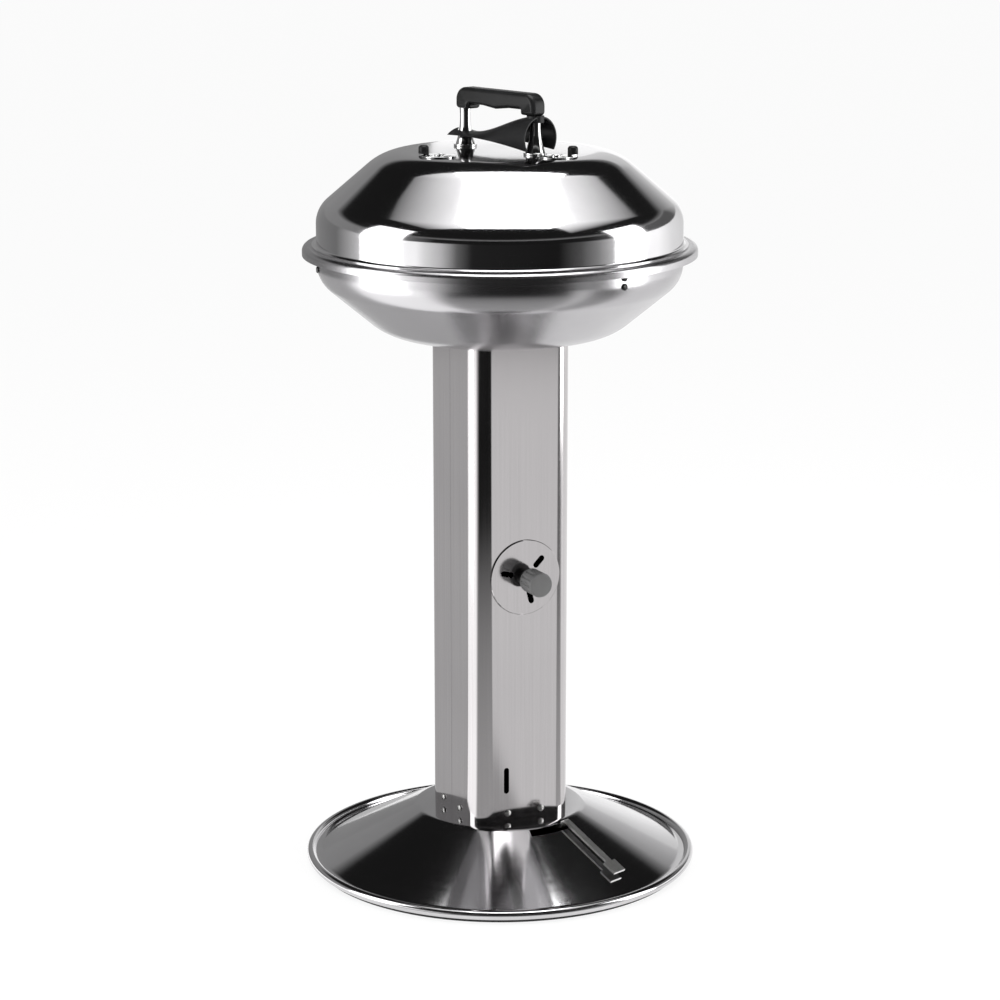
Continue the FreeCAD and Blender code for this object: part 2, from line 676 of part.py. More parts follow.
def lid_shell():
    """Spun lid with its lip, vent holes and screw holes."""
    shell = spun(lid_points(), [LID_LIP_BEND, LID_KNUCKLE_BEND, LID_TOP_BEND], SHEET)
    depth = 4 * SHEET
    low = LID_TOP_Z - depth / 2
    tools = [Part.makeCylinder(HANDLE_SCREW_RADIUS + SCREW_CLEARANCE, depth, p + UP * low)
             for p in post_points()]
    for turn, _ in VENTS.values():
        centre = direction(LID_TURN_ANGLE + turn) * VENT_PITCH_RADIUS + UP * low
        tools.append(Part.makeCylinder(VENT_RIVET_RADIUS + RUNNING_FIT, depth, centre))
        tools += vent_holes(centre, depth)
    return cut_all(shell, tools)


def post_points():
    """Places of the handle's posts on the lid, on its plan."""
    return [direction(LID_TURN_ANGLE) * (side * POST_SPACING / 2) for side in (1, -1)]


def vent_holes(centre, depth):
    """Cutters for a vent's ring of holes."""
    return [Part.makeCylinder(VENT_HOLE_RADIUS, depth,
                              centre + direction(LID_TURN_ANGLE + i * 360 / VENT_HOLES) * VENT_HOLE_CIRCLE)
            for i in range(VENT_HOLES)]


def vent(turn, hand):
    """Shutter with its ear, pivot rivet and knob of one lid vent."""
    centre = direction(LID_TURN_ANGLE + turn) * VENT_PITCH_RADIUS
    ear_end = direction(LID_TURN_ANGLE + turn + 90 * hand) * VENT_EAR_REACH + centre
    base = LID_TOP_Z + REST_GAP
    plate = Part.makeCylinder(VENT_SHUTTER_RADIUS, SHEET, centre + UP * base)
    ear = Part.makeBox(VENT_EAR_REACH, VENT_EAR_WIDTH, SHEET, Vector(0, -VENT_EAR_WIDTH / 2, 0))
    ear = turned(ear, LID_TURN_ANGLE + turn + 90 * hand - 90)
    ear.translate(centre + UP * base)
    plate = plate.fuse(ear).fuse(Part.makeCylinder(VENT_EAR_WIDTH / 2, SHEET, ear_end + UP * base))
    bore = Part.makeCylinder(VENT_RIVET_RADIUS + RUNNING_FIT, 3 * SHEET, centre + UP * (base - SHEET))
    holes = vent_holes(centre + UP * (base - SHEET), 3 * SHEET)
    shutter = cut_all(plate.removeSplitter(), holes + [bore])
    below = LID_TOP_Z - SHEET - REST_GAP
    rivet = Part.makeCylinder(VENT_RIVET_HEAD, SHEET, centre + UP * (base + SHEET))
    rivet = rivet.fuse(Part.makeCylinder(VENT_RIVET_RADIUS, base + SHEET - below, centre + UP * below))
    rivet = rivet.fuse(Part.makeCylinder(VENT_RIVET_HEAD, SHEET, centre + UP * (below - SHEET)))
    knob = Part.makeCylinder(VENT_KNOB_RADIUS, VENT_KNOB_HEIGHT, ear_end + UP * (base + SHEET))
    crown = [e for e in knob.Edges if e.Closed and e.CenterOfMass.z > base + VENT_KNOB_HEIGHT]
    return shutter, rivet.removeSplitter(), knob.makeFillet(VENT_KNOB_RADIUS * 0.6, crown)


def handle_post(foot, height):
    """Flared round post on the lid's top, with a bore for the screw."""
    r = [POST_FLANGE_RADIUS, POST_FOOT_RADIUS, POST_WAIST_RADIUS, POST_TOP_RADIUS]
    low = POST_FLANGE_HEIGHT
    outline = flat([(0, 0), (r[0], 0), (r[0], low), (r[1], low)])
    flare = Part.Arc(outline[-1], Vector(r[2], 0, height * 0.45), Vector(r[3], 0, height))
    edges = [Part.LineSegment(a, b).toShape() for a, b in zip(outline, outline[1:])]
    edges.append(flare.toShape())
    edges.append(Part.LineSegment(Vector(r[3], 0, height), UP * height).toShape())
    edges.append(Part.LineSegment(UP * height, ORIGIN).toShape())
    post = Part.Face(Part.Wire(edges)).revolve(ORIGIN, UP, 360)
    post = post.cut(Part.makeCylinder(HANDLE_SCREW_RADIUS + SCREW_CLEARANCE, height))
    post.translate(foot + UP * LID_TOP_Z)
    return post


def handle_grip():
    """Moulded grip with a finger recess below, carried on both posts."""
    base = POST_HEIGHT + SHIELD_SHEET
    half = GRIP_LENGTH / 2
    recess = GRIP_RECESS_LENGTH / 2
    bump = recess * 0.5
    roof = base + GRIP_RECESS
    outline = flat([(0, base + GRIP_DEPTH), (-half, base + GRIP_DEPTH), (-half, base), (-recess, base),
                    (-recess, roof), (-bump, roof), (0, roof - GRIP_FINGER_BUMP), (bump, roof),
                    (recess, roof), (recess, base), (half, base), (half, base + GRIP_DEPTH),
                    (0, base + GRIP_DEPTH)])
    side = [GRIP_TOP_BEND, GRIP_END_BEND, GRIP_RECESS_BEND, GRIP_RECESS_BEND, GRIP_FINGER_BEND]
    bends = side + [GRIP_FINGER_BEND] + side[::-1]
    grip = Part.Face(Part.Wire(rounded_path(outline, bends))).extrude(Vector(0, GRIP_WIDTH, 0))
    grip.translate(Vector(0, -GRIP_WIDTH / 2, 0))
    crown = [e for e in grip.Edges if e.BoundBox.ZMin > roof + GRIP_EDGE and e.BoundBox.YLength < 1]
    grip = grip.makeFillet(GRIP_EDGE, crown)
    grip = turned(grip, LID_TURN_ANGLE - 90)
    grip.translate(UP * LID_TOP_Z)
    bores = [Part.makeCylinder(HANDLE_SCREW_RADIUS + SCREW_CLEARANCE, HANDLE_SCREW_BITE + SEAT_GAP,
                               p + UP * (LID_TOP_Z + base)) for p in post_points()]
    return cut_all(grip, bores)


def shield_section(place, half_width, edge, crest):
    """Outline of the shield's arched sheet, across the grip."""
    inner = half_width - SHIELD_SHEET
    left, right = Vector(place, -half_width, edge), Vector(place, half_width, edge)
    inner_left, inner_right = Vector(place, -inner, edge), Vector(place, inner, edge)
    edges = [Part.Arc(left, Vector(place, 0, crest), right),
             Part.LineSegment(right, inner_right),
             Part.Arc(inner_right, Vector(place, 0, crest - SHIELD_SHEET), inner_left),
             Part.LineSegment(inner_left, left)]
    return Part.Wire([edge.toShape() for edge in edges])


def heat_shield():
    """Arched guard under the grip: a tall mouth capped on the front post, a low lip round the rear one."""
    top = POST_HEIGHT + SHIELD_SHEET
    half = SHIELD_LENGTH / 2
    reach = POST_SPACING / 2
    end, waist = SHIELD_END_HALF_WIDTH, SHIELD_WAIST_HALF_WIDTH
    guard = Part.makeLoft([shield_section(half, end, SHIELD_FRONT_EDGE, top - REST_GAP),
                           shield_section(SHIELD_SHOULDER_PLACE, waist, SHIELD_SHOULDER_EDGE,
                                          SHIELD_SHOULDER_HEIGHT),
                           shield_section(SHIELD_DIP_PLACE, waist, SHIELD_REAR_EDGE, SHIELD_DIP_HEIGHT),
                           shield_section(-half, end, SHIELD_REAR_EDGE, SHIELD_REAR_HEIGHT)], True)
    bore = POST_WAIST_RADIUS + REST_GAP
    cap = Part.makeCylinder(bore + SHIELD_CAP_WALL, SHIELD_CAP_DEPTH, Vector(reach, 0, top - SHIELD_CAP_DEPTH))
    cuts = [Part.makeCylinder(bore, POST_HEIGHT, Vector(reach, 0, 0)),
            Part.makeCylinder(HANDLE_SCREW_RADIUS + SCREW_CLEARANCE, top, Vector(reach, 0, 0)),
            Part.makeCylinder(POST_WAIST_RADIUS + SHIELD_POST_GAP, top, Vector(-reach, 0, 0))]
    shield = cut_all(guard.fuse(cap), cuts).removeSplitter()
    return lifted(turned(shield, LID_TURN_ANGLE - 90), LID_TOP_Z)


def handle_screws():
    """Long screws from inside the lid, through each post into the grip."""
    length = SHEET + SHIELD_SHEET + POST_HEIGHT + HANDLE_SCREW_BITE
    screws = []
    for place in post_points():
        low = place + UP * (LID_TOP_Z - SHEET)
        head = Part.makeCylinder(2 * HANDLE_SCREW_RADIUS, SCREW_HEAD_HEIGHT, low, UP * -1)
        screws.append(head.fuse(Part.makeCylinder(HANDLE_SCREW_RADIUS, length, low)))
    return Part.makeCompound(screws)


def lid_hook():
    """Wire loop on the inside of the lid's wall, by which the lid hangs on the bowl's rim."""
    wall = LID_WALL_RADIUS - SHEET - HOOK_WIRE - SEAT_GAP - HOOK_WIDTH ** 2 / (8 * LID_WALL_RADIUS)
    half = HOOK_WIDTH / 2
    low = RIM_Z + HOOK_RISE
    top = low + HOOK_LEG
    inner = wall - HOOK_REACH
    points = [Vector(-half, wall, top), Vector(-half, wall, low), Vector(-half, inner, low),
              Vector(half, inner, low), Vector(half, wall, low), Vector(half, wall, top)]
    return turned(wire_form(points, HOOK_BEND, HOOK_WIRE), LID_TURN_ANGLE)


def damper():
    """Disc, stem, knob, washer and nut of the column's damper."""
    disc_base = REST_GAP
    disc_top = disc_base + DAMPER_SHEET
    disc = Part.makeCylinder(DAMPER_RADIUS, DAMPER_SHEET, UP * disc_base)
    rim = [e for e in disc.Edges if e.Closed and e.CenterOfMass.z > disc_base + DAMPER_SHEET / 2]
    disc = disc.makeChamfer(DAMPER_SHEET * 0.4, rim)
    bore = Part.makeCylinder(DAMPER_STEM_RADIUS + RUNNING_FIT, 4 * DAMPER_SHEET, UP * -DAMPER_SHEET)
    disc = cut_all(disc, damper_slots(4 * DAMPER_SHEET) + [bore])
    knob_base = disc_top + DAMPER_STANDOFF
    washer_base = -SHEET - REST_GAP - DAMPER_WASHER_SHEET
    nut_base = washer_base - DAMPER_NUT_HEIGHT
    grip_depth = DAMPER_KNOB_LENGTH / 2
    stem = rod(UP * nut_base, UP * (knob_base + grip_depth), DAMPER_STEM_RADIUS)
    stem = stem.fuse(rod(UP * disc_top, UP * knob_base, DAMPER_SHOULDER_RADIUS))
    knob = Part.makeCylinder(DAMPER_KNOB_RADIUS, DAMPER_KNOB_LENGTH, UP * knob_base)
    knob = knob.makeFillet(DAMPER_KNOB_EDGE, [e for e in knob.Edges if e.Closed])
    knob = cut_all(knob, knob_flutes(knob_base))
    bored = DAMPER_STEM_RADIUS + RUNNING_FIT
    knob = knob.cut(Part.makeCylinder(bored, grip_depth + SEAT_GAP, UP * knob_base))
    washer = ring(DAMPER_WASHER_RADIUS, bored, DAMPER_WASHER_SHEET, UP * washer_base)
    nut = hexagon(DAMPER_NUT_SIZE, DAMPER_NUT_HEIGHT, UP * nut_base)
    nut = nut.cut(Part.makeCylinder(bored, DAMPER_NUT_HEIGHT, UP * nut_base))
    return [on_front_face(s) for s in (disc, stem, knob, washer, nut)]


def lever_path():
    """Underside of the lever in its own radial plane, from the hub to the tip."""
    dome_z = PLATEAU_HEIGHT - max(0, LEVER_STEP_RADIUS - PLATEAU_RADIUS) * dome_slope()
    high = dome_z + LEVER_STEP_CLEAR
    low = high - LEVER_STEP_RISE
    tip = high - (LEVER_REACH - LEVER_STEP_RADIUS) * dome_slope()
    return [(0, low), (LEVER_STEP_RADIUS, low), (LEVER_STEP_RADIUS, high), (LEVER_REACH, tip)]


def sweeper_lever():
    """Bent flat lever below the dome that comes out through its arc slot and ends in a square tab."""
    path = lever_path()
    bar = sheet_face(path, [LEVER_BEND + LEVER_SHEET, LEVER_BEND], LEVER_SHEET)
    bar = bar.extrude(Vector(0, LEVER_WIDTH, 0))
    bar.translate(Vector(0, -LEVER_WIDTH / 2, 0))
    (r0, z0), (r1, z1) = path[2:]
    share = LEVER_TAB_LENGTH / (r1 - r0)
    tab = sheet_face([(r1 - share * (r1 - r0), z1 - share * (z1 - z0)), (r1, z1)], [], LEVER_SHEET)
    tab = tab.extrude(Vector(0, LEVER_TAB_WIDTH, 0))
    tab.translate(Vector(0, -LEVER_TAB_WIDTH / 2, 0))
    hub = Part.makeCylinder(HUB_RADIUS, LEVER_SHEET, UP * path[0][1])
    lever = bar.fuse(tab).fuse(hub).removeSplitter()
    bore = Part.makeCylinder(SPINDLE_RADIUS + RUNNING_FIT, 3 * LEVER_SHEET,
                             UP * (path[0][1] - LEVER_SHEET))
    return turned(lever.cut(bore), LEVER_REST_ANGLE - 90)


def sweeper_blades():
    """Hub with radial blades that sweep the ash over the ports."""
    base = PLATEAU_HEIGHT + REST_GAP
    body = Part.makeCylinder(HUB_RADIUS, BLADE_HEIGHT, UP * base)
    blade = Part.makeBox(BLADE_REACH, BLADE_THICKNESS, BLADE_HEIGHT,
                         Vector(0, -BLADE_THICKNESS / 2, base))
    for i in range(BLADES):
        body = body.fuse(turned(blade, LEVER_REST_ANGLE - 90 + (i + 0.5) * 360 / BLADES))
    bore = Part.makeCylinder(SPINDLE_RADIUS + RUNNING_FIT, BLADE_HEIGHT, UP * base)
    return body.cut(bore).removeSplitter()


def sweeper_spindle():
    """Upright pin through the dome that joins the blades to the lever, with a spacer under the dome."""
    top = PLATEAU_HEIGHT + REST_GAP + BLADE_HEIGHT
    lever_top = lever_path()[0][1] + LEVER_SHEET
    low = lever_top - LEVER_SHEET - LEVER_NUT_HEIGHT
    pin = rod(UP * low, UP * top, SPINDLE_RADIUS)
    pin = pin.fuse(Part.makeCylinder(SPINDLE_HEAD_RADIUS, SPINDLE_HEAD_HEIGHT, UP * top))
    spacer_top = PLATEAU_HEIGHT - SHEET - REST_GAP
    return pin.fuse(rod(UP * lever_top, UP * spacer_top, SPINDLE_HEAD_RADIUS)).removeSplitter()


def sweeper_nut():
    """Nut under the lever's hub."""
    base = UP * (lever_path()[0][1] - LEVER_NUT_HEIGHT)
    nut = hexagon(LEVER_NUT_SIZE, LEVER_NUT_HEIGHT, base)
    return nut.cut(Part.makeCylinder(SPINDLE_RADIUS + RUNNING_FIT, LEVER_NUT_HEIGHT, base))


def base_bolts():
    """Bolts of the foot collar, through the dome."""
    bite = COLLAR_SHEET + SHEET + SCREW_HEAD_HEIGHT
    return Part.makeCompound([screw(p + UP * COLLAR_SHEET, UP, bite) for p in base_bolt_points()])


def export(name, shape):
    """Write one piece to its own file."""
    shape.exportStep(f"parts/{name}.step")


def main():
    """Build every piece and write it."""
    os.makedirs("parts", exist_ok=True)
    export("base_dish", base_dish())
    export("floor_ring", floor_ring())
    export("ash_pan", ash_pan())
    front, rear = column_shells()
    export("column_front_shell", front)
    export("column_rear_shell", rear)
    export("column_seam_strips", seam_strips())
    export("foot_collar", foot_collar())
    export("foot_screws", Part.makeCompound([screw(p, out, SHEET + COLLAR_SHEET)
                                             for p, out in foot_screw_places()]))
    export("base_bolts", base_bolts())
    export("top_flange", top_flange())
    export("bowl", bowl())
    export("bowl_bolts", Part.makeCompound([screw(p, UP, SHEET + TOP_FLANGE_SHEET)
                                            for p in bowl_bolt_points()]))
    for i in range(BRACKETS):
        export(f"grate_bracket_{i + 1}", grate_bracket(BRACKET_TURN_ANGLE + i * 360 / BRACKETS))
    export("bracket_screws", Part.makeCompound([screw(p, out, bracket_screw_bite())
                                                for p, out in bracket_screw_places()]))
    for name, shape in zip(("fire_grate_ring", "fire_grate_bars"), fire_grate()):
        export(name, shape)
    for name, shape in zip(("grate_ring", "grate_bars", "grate_cross_rods"), cooking_grate()):
        export(name, shape)
    export("grate_handle_left", grate_handle(-1))
    export("grate_handle_right", grate_handle(1))
    export("lid_shell", lid_shell())
    export("handle_grip", handle_grip())
    front_foot, rear_foot = post_points()
    export("handle_post_front", handle_post(front_foot, POST_HEIGHT))
    export("handle_post_rear", handle_post(rear_foot, POST_HEIGHT + SHIELD_SHEET))
    export("heat_shield", heat_shield())
    export("handle_screws", handle_screws())
    export("lid_hook", lid_hook())
    for name, (turn, hand) in VENTS.items():
        for piece, shape in zip(("shutter", "rivet", "knob"), vent(turn, hand)):
            export(f"vent_{name}_{piece}", shape)
    names = ("damper_disc", "damper_stem", "damper_knob", "damper_washer", "damper_nut")
    for name, shape in zip(names, damper()):
        export(name, shape)
    export("sweeper_lever", sweeper_lever())
    export("sweeper_blades", sweeper_blades())
    export("sweeper_spindle", sweeper_spindle())
    export("sweeper_nut", sweeper_nut())


main()
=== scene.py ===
"""Looks of the pedestal charcoal grill: spun steel shells, a satin column, black mouldings and wire grates."""
import json
import logging
import math
from contextlib import contextmanager
from dataclasses import dataclass
from enum import Enum
from typing import Callable, Iterator, Sequence

import bpy
from mathutils import Matrix, Vector

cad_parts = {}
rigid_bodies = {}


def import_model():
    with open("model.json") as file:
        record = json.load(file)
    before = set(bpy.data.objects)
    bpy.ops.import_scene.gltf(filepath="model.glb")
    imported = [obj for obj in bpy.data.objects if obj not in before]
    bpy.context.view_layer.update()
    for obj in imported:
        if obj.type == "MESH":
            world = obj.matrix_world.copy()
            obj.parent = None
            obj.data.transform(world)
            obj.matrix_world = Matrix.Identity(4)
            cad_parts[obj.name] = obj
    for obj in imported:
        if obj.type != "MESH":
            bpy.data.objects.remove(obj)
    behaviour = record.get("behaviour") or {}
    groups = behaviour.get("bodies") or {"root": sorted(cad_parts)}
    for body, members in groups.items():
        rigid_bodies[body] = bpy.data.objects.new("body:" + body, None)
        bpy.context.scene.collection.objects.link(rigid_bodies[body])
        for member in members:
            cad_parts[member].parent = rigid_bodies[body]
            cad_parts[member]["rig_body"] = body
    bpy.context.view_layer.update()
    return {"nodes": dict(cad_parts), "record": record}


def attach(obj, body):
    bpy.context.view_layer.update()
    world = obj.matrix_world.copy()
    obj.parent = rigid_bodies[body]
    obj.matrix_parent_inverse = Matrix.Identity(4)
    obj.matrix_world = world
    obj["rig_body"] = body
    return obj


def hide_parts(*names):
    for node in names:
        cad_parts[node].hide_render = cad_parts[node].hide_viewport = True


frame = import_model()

LOG = logging.getLogger("grill")

MM = 0.001
SHEET = 1.5 * MM
RIM_Z = 883 * MM
LID_TOP_Z = 1010 * MM
BOWL_FLOOR_Z = 754 * MM
PLATEAU_Z = 80 * MM
COLUMN_SIDE = 153 * MM
LID_TURN = 16.0
SMOOTH_ANGLE = math.radians(32)
FLAT_ANGLE = math.radians(0.5)
WELD_DISTANCE = 1e-6
HOLE_CUT = 8 * SHEET
SLOT_CUT = 6 * SHEET
NORMAL_WEIGHT = 100
PATTERN_LOW = 0.3
PATTERN_HIGH = 0.7
WHITE = (1.0, 1.0, 1.0, 1.0)

Point = tuple[float, float]
Span = tuple[float, float]
Colour = tuple[float, float, float]
Tones = tuple[Span, ...]
FaceTest = Callable[[bpy.types.MeshPolygon], bool]
PointTest = Callable[[Vector], bool]


class Axis(Enum):
    """Direction along which a round cutter is laid, as the turns that lay it there."""

    Y = (math.pi / 2, 0.0, 0.0)
    Z = (0.0, 0.0, 0.0)


class Half(Enum):
    """Half of the column: the side of its seam plane that a shell stands on."""

    FRONT = -1
    REAR = 1


def heading(turn: float) -> Vector:
    """Horizontal unit vector, turned in degrees from the front towards +X."""
    angle = math.radians(turn)
    return Vector((math.sin(angle), -math.cos(angle), 0.0))


def rounded_profile(corners: Sequence[Point], bends: Sequence[float], step: float) -> list[Point]:
    """Profile through corners whose inner ones are rounded.

    Args:
        corners: radius and height of each corner.
        bends: bend radius at each inner corner, 0 for a sharp one.
        step: largest angle between two points of an arc, in radians.

    Returns:
        Points of the profile, from the first corner to the last.
    """
    points = [corners[0]]
    for before, corner, after, bend in zip(corners, corners[1:], corners[2:], bends):
        back = (Vector(before) - Vector(corner)).normalized()
        ahead = (Vector(after) - Vector(corner)).normalized()
        if bend <= 0:
            points.append(corner)
            continue
        half = back.angle(ahead) / 2
        centre = Vector(corner) + (back + ahead).normalized() * (bend / math.sin(half))
        start = Vector(corner) + back * (bend / math.tan(half)) - centre
        sweep = math.pi - 2 * half
        if start.y * back.x - start.x * back.y < 0:
            sweep = -sweep
        count = max(2, math.ceil(abs(sweep) / step))
        for i in range(count + 1):
            angle = sweep * i / count
            points.append((centre.x + start.x * math.cos(angle) - start.y * math.sin(angle),
                           centre.y + start.x * math.sin(angle) + start.y * math.cos(angle)))
    points.append(corners[-1])
    return points


class Bench:
    """Modelling moves shared by the sub-assemblies, made with Blender's own operators."""

    @staticmethod
    def clear() -> None:
        """Leave edit mode and deselect everything."""
        if bpy.context.object and bpy.context.object.mode != "OBJECT":
            bpy.ops.object.mode_set(mode="OBJECT")
        bpy.ops.object.select_all(action="DESELECT")

    @staticmethod
    def pick(piece: bpy.types.Object) -> None:
        """Select one object alone and make it active."""
        Bench.clear()
        piece.select_set(True)
        bpy.context.view_layer.objects.active = piece

    @staticmethod
    @contextmanager
    def editing(piece: bpy.types.Object) -> Iterator[None]:
        """Work on a piece in edit mode, with all of it selected at first."""
        Bench.pick(piece)
        bpy.ops.object.mode_set(mode="EDIT")
        bpy.ops.mesh.select_all(action="SELECT")
        yield
        bpy.ops.object.mode_set(mode="OBJECT")

    @staticmethod
    @contextmanager
    def on_faces(piece: bpy.types.Object, test: FaceTest) -> Iterator[None]:
        """Work in edit mode on the faces that pass a test, and leave vertex selection on.

        Args:
            piece: object to work on.
            test: tells whether a face is selected.
        """
        with Bench.editing(piece):
            bpy.ops.mesh.select_mode(type="FACE")
            bpy.ops.mesh.select_all(action="DESELECT")
            bpy.ops.object.mode_set(mode="OBJECT")
            for face in piece.data.polygons:
                face.select = test(face)
            bpy.ops.object.mode_set(mode="EDIT")
            yield
            bpy.ops.mesh.select_mode(type="VERT")

    @staticmethod
    @contextmanager
    def on_points(piece: bpy.types.Object, test: PointTest) -> Iterator[None]:
        """Work in edit mode on the points that pass a test.

        Args:
            piece: object to work on.
            test: tells whether the point at a place is selected.
        """
        with Bench.editing(piece):
            bpy.ops.mesh.select_mode(type="VERT")
            bpy.ops.mesh.select_all(action="DESELECT")
            bpy.ops.object.mode_set(mode="OBJECT")
            for vertex in piece.data.vertices:
                vertex.select = test(vertex.co)
            bpy.ops.object.mode_set(mode="EDIT")
            yield

    @staticmethod
    def named(name: str) -> bpy.types.Object:
        """Name the active new primitive and set its place into its mesh."""
        piece = bpy.context.object
        piece.name = name
        bpy.ops.object.transform_apply(location=True, rotation=True, scale=True)
        return piece

    @staticmethod
    def apply(piece: bpy.types.Object, kind: str, **values: object) -> None:
        """Add a modifier with its values and apply it.

        Args:
            piece: object to change.
            kind: modifier type.
            values: settings of the modifier.
        """
        Bench.pick(piece)
        modifier = piece.modifiers.new(kind.lower(), kind)
        for key, value in values.items():
            setattr(modifier, key, value)
        bpy.ops.object.modifier_apply(modifier=modifier.name)

    @staticmethod
    def thicken(piece: bpy.types.Object) -> None:
        """Give a surface the sheet's thickness, on the side that its faces turn away from."""
        Bench.apply(piece, "SOLIDIFY", thickness=SHEET, offset=-1.0, use_even_offset=True)

    @staticmethod
    def cut(piece: bpy.types.Object, cutters: Sequence[bpy.types.Object]) -> None:
        """Cut the volume of each cutter out of a piece and discard the cutters."""
        for cutter in cutters:
            Bench.apply(piece, "BOOLEAN", operation="DIFFERENCE", object=cutter, solver="EXACT")
            bpy.data.objects.remove(cutter)

    @staticmethod
    def smooth(piece: bpy.types.Object) -> None:
        """Shade a piece smooth, with its sharp edges left crisp."""
        Bench.pick(piece)
        bpy.ops.object.shade_smooth_by_angle(angle=SMOOTH_ANGLE)

    @staticmethod
    def even_normals(piece: bpy.types.Object) -> None:
        """Let large faces rule the shading, so that flat ones next to a bend stay flat."""
        Bench.apply(piece, "WEIGHTED_NORMAL", keep_sharp=True, weight=NORMAL_WEIGHT)

    @staticmethod
    def turned(name: str, profile: Sequence[Point], segments: int) -> bpy.types.Object:
        """Open surface of revolution about the vertical axis.

        Args:
            name: name of the new object.
            profile: radius and height of each ring; a radius of 0 closes the end.
            segments: number of faces round the axis.

        Returns:
            The new object.
        """
        radius, height = profile[0]
        Bench.clear()
        bpy.ops.mesh.primitive_circle_add(vertices=segments, radius=radius, location=(0, 0, height))
        piece = Bench.named(name)
        with Bench.editing(piece):
            for next_radius, next_height in profile[1:]:
                rise = (0.0, 0.0, next_height - height)
                bpy.ops.mesh.extrude_region_move(TRANSFORM_OT_translate={"value": rise})
                if next_radius <= 0:
                    bpy.ops.mesh.merge(type="CENTER")
                    break
                share = next_radius / radius
                bpy.ops.transform.resize(value=(share, share, 1.0), center_override=(0.0, 0.0, next_height))
                radius, height = next_radius, next_height
            bpy.ops.mesh.select_all(action="SELECT")
            bpy.ops.mesh.normals_make_consistent(inside=False)
        return piece

    @staticmethod
    def rod(name: str, radius: float, length: float, centre: Vector, axis: Axis,
            sides: int = 48) -> bpy.types.Object:
        """Round bar, used as a cutter.

        Args:
            name: name of the new object.
            radius: radius of the bar.
            length: length along its axis.
            centre: middle of the bar.
            axis: direction of the bar.
            sides: number of faces round it.

        Returns:
            The new object.
        """
        Bench.clear()
        bpy.ops.mesh.primitive_cylinder_add(vertices=sides, radius=radius, depth=length,
                                            location=centre, rotation=axis.value)
        return Bench.named(name)

    @staticmethod
    def slot_cutter(name: str, length: float, width: float, depth: float) -> bpy.types.Object:
        """Round-ended bar along X, at the origin, that cuts along Y.

        Args:
            name: name of the new object.
            length: length over its round ends.
            width: width of the slot.
            depth: depth of the cut.

        Returns:
            The new object.
        """
        piece = Bench.rod(name, width / 2, depth, Vector((0, 0, 0)), Axis.Y, 32)
        reach = (length - width) / 2
        for side in (-1, 1):
            with Bench.on_points(piece, lambda place: place.x * side > 0):
                bpy.ops.transform.translate(value=(side * reach, 0, 0))
        return piece

    @staticmethod
    def place(piece: bpy.types.Object, matrix: Matrix) -> bpy.types.Object:
        """Set a piece by a matrix and put the place into its mesh."""
        piece.matrix_world = matrix
        Bench.pick(piece)
        bpy.ops.object.transform_apply(location=True, rotation=True, scale=True)
        return piece

    @staticmethod
    def dressed_copy(node: str) -> bpy.types.Object:
        """Welded copy of a CAD node, with its flat faces joined up.

        Args:
            node: name of the node.

        Returns:
            The copy, which is not yet on a body.
        """
        original = frame["nodes"][node]
        piece = bpy.data.objects.new(f"{node}_dressed", original.data.copy())
        bpy.context.scene.collection.objects.link(piece)
        with Bench.editing(piece):
            bpy.ops.mesh.remove_doubles(threshold=WELD_DISTANCE)
            bpy.ops.mesh.dissolve_limited(angle_limit=FLAT_ANGLE)
        return piece


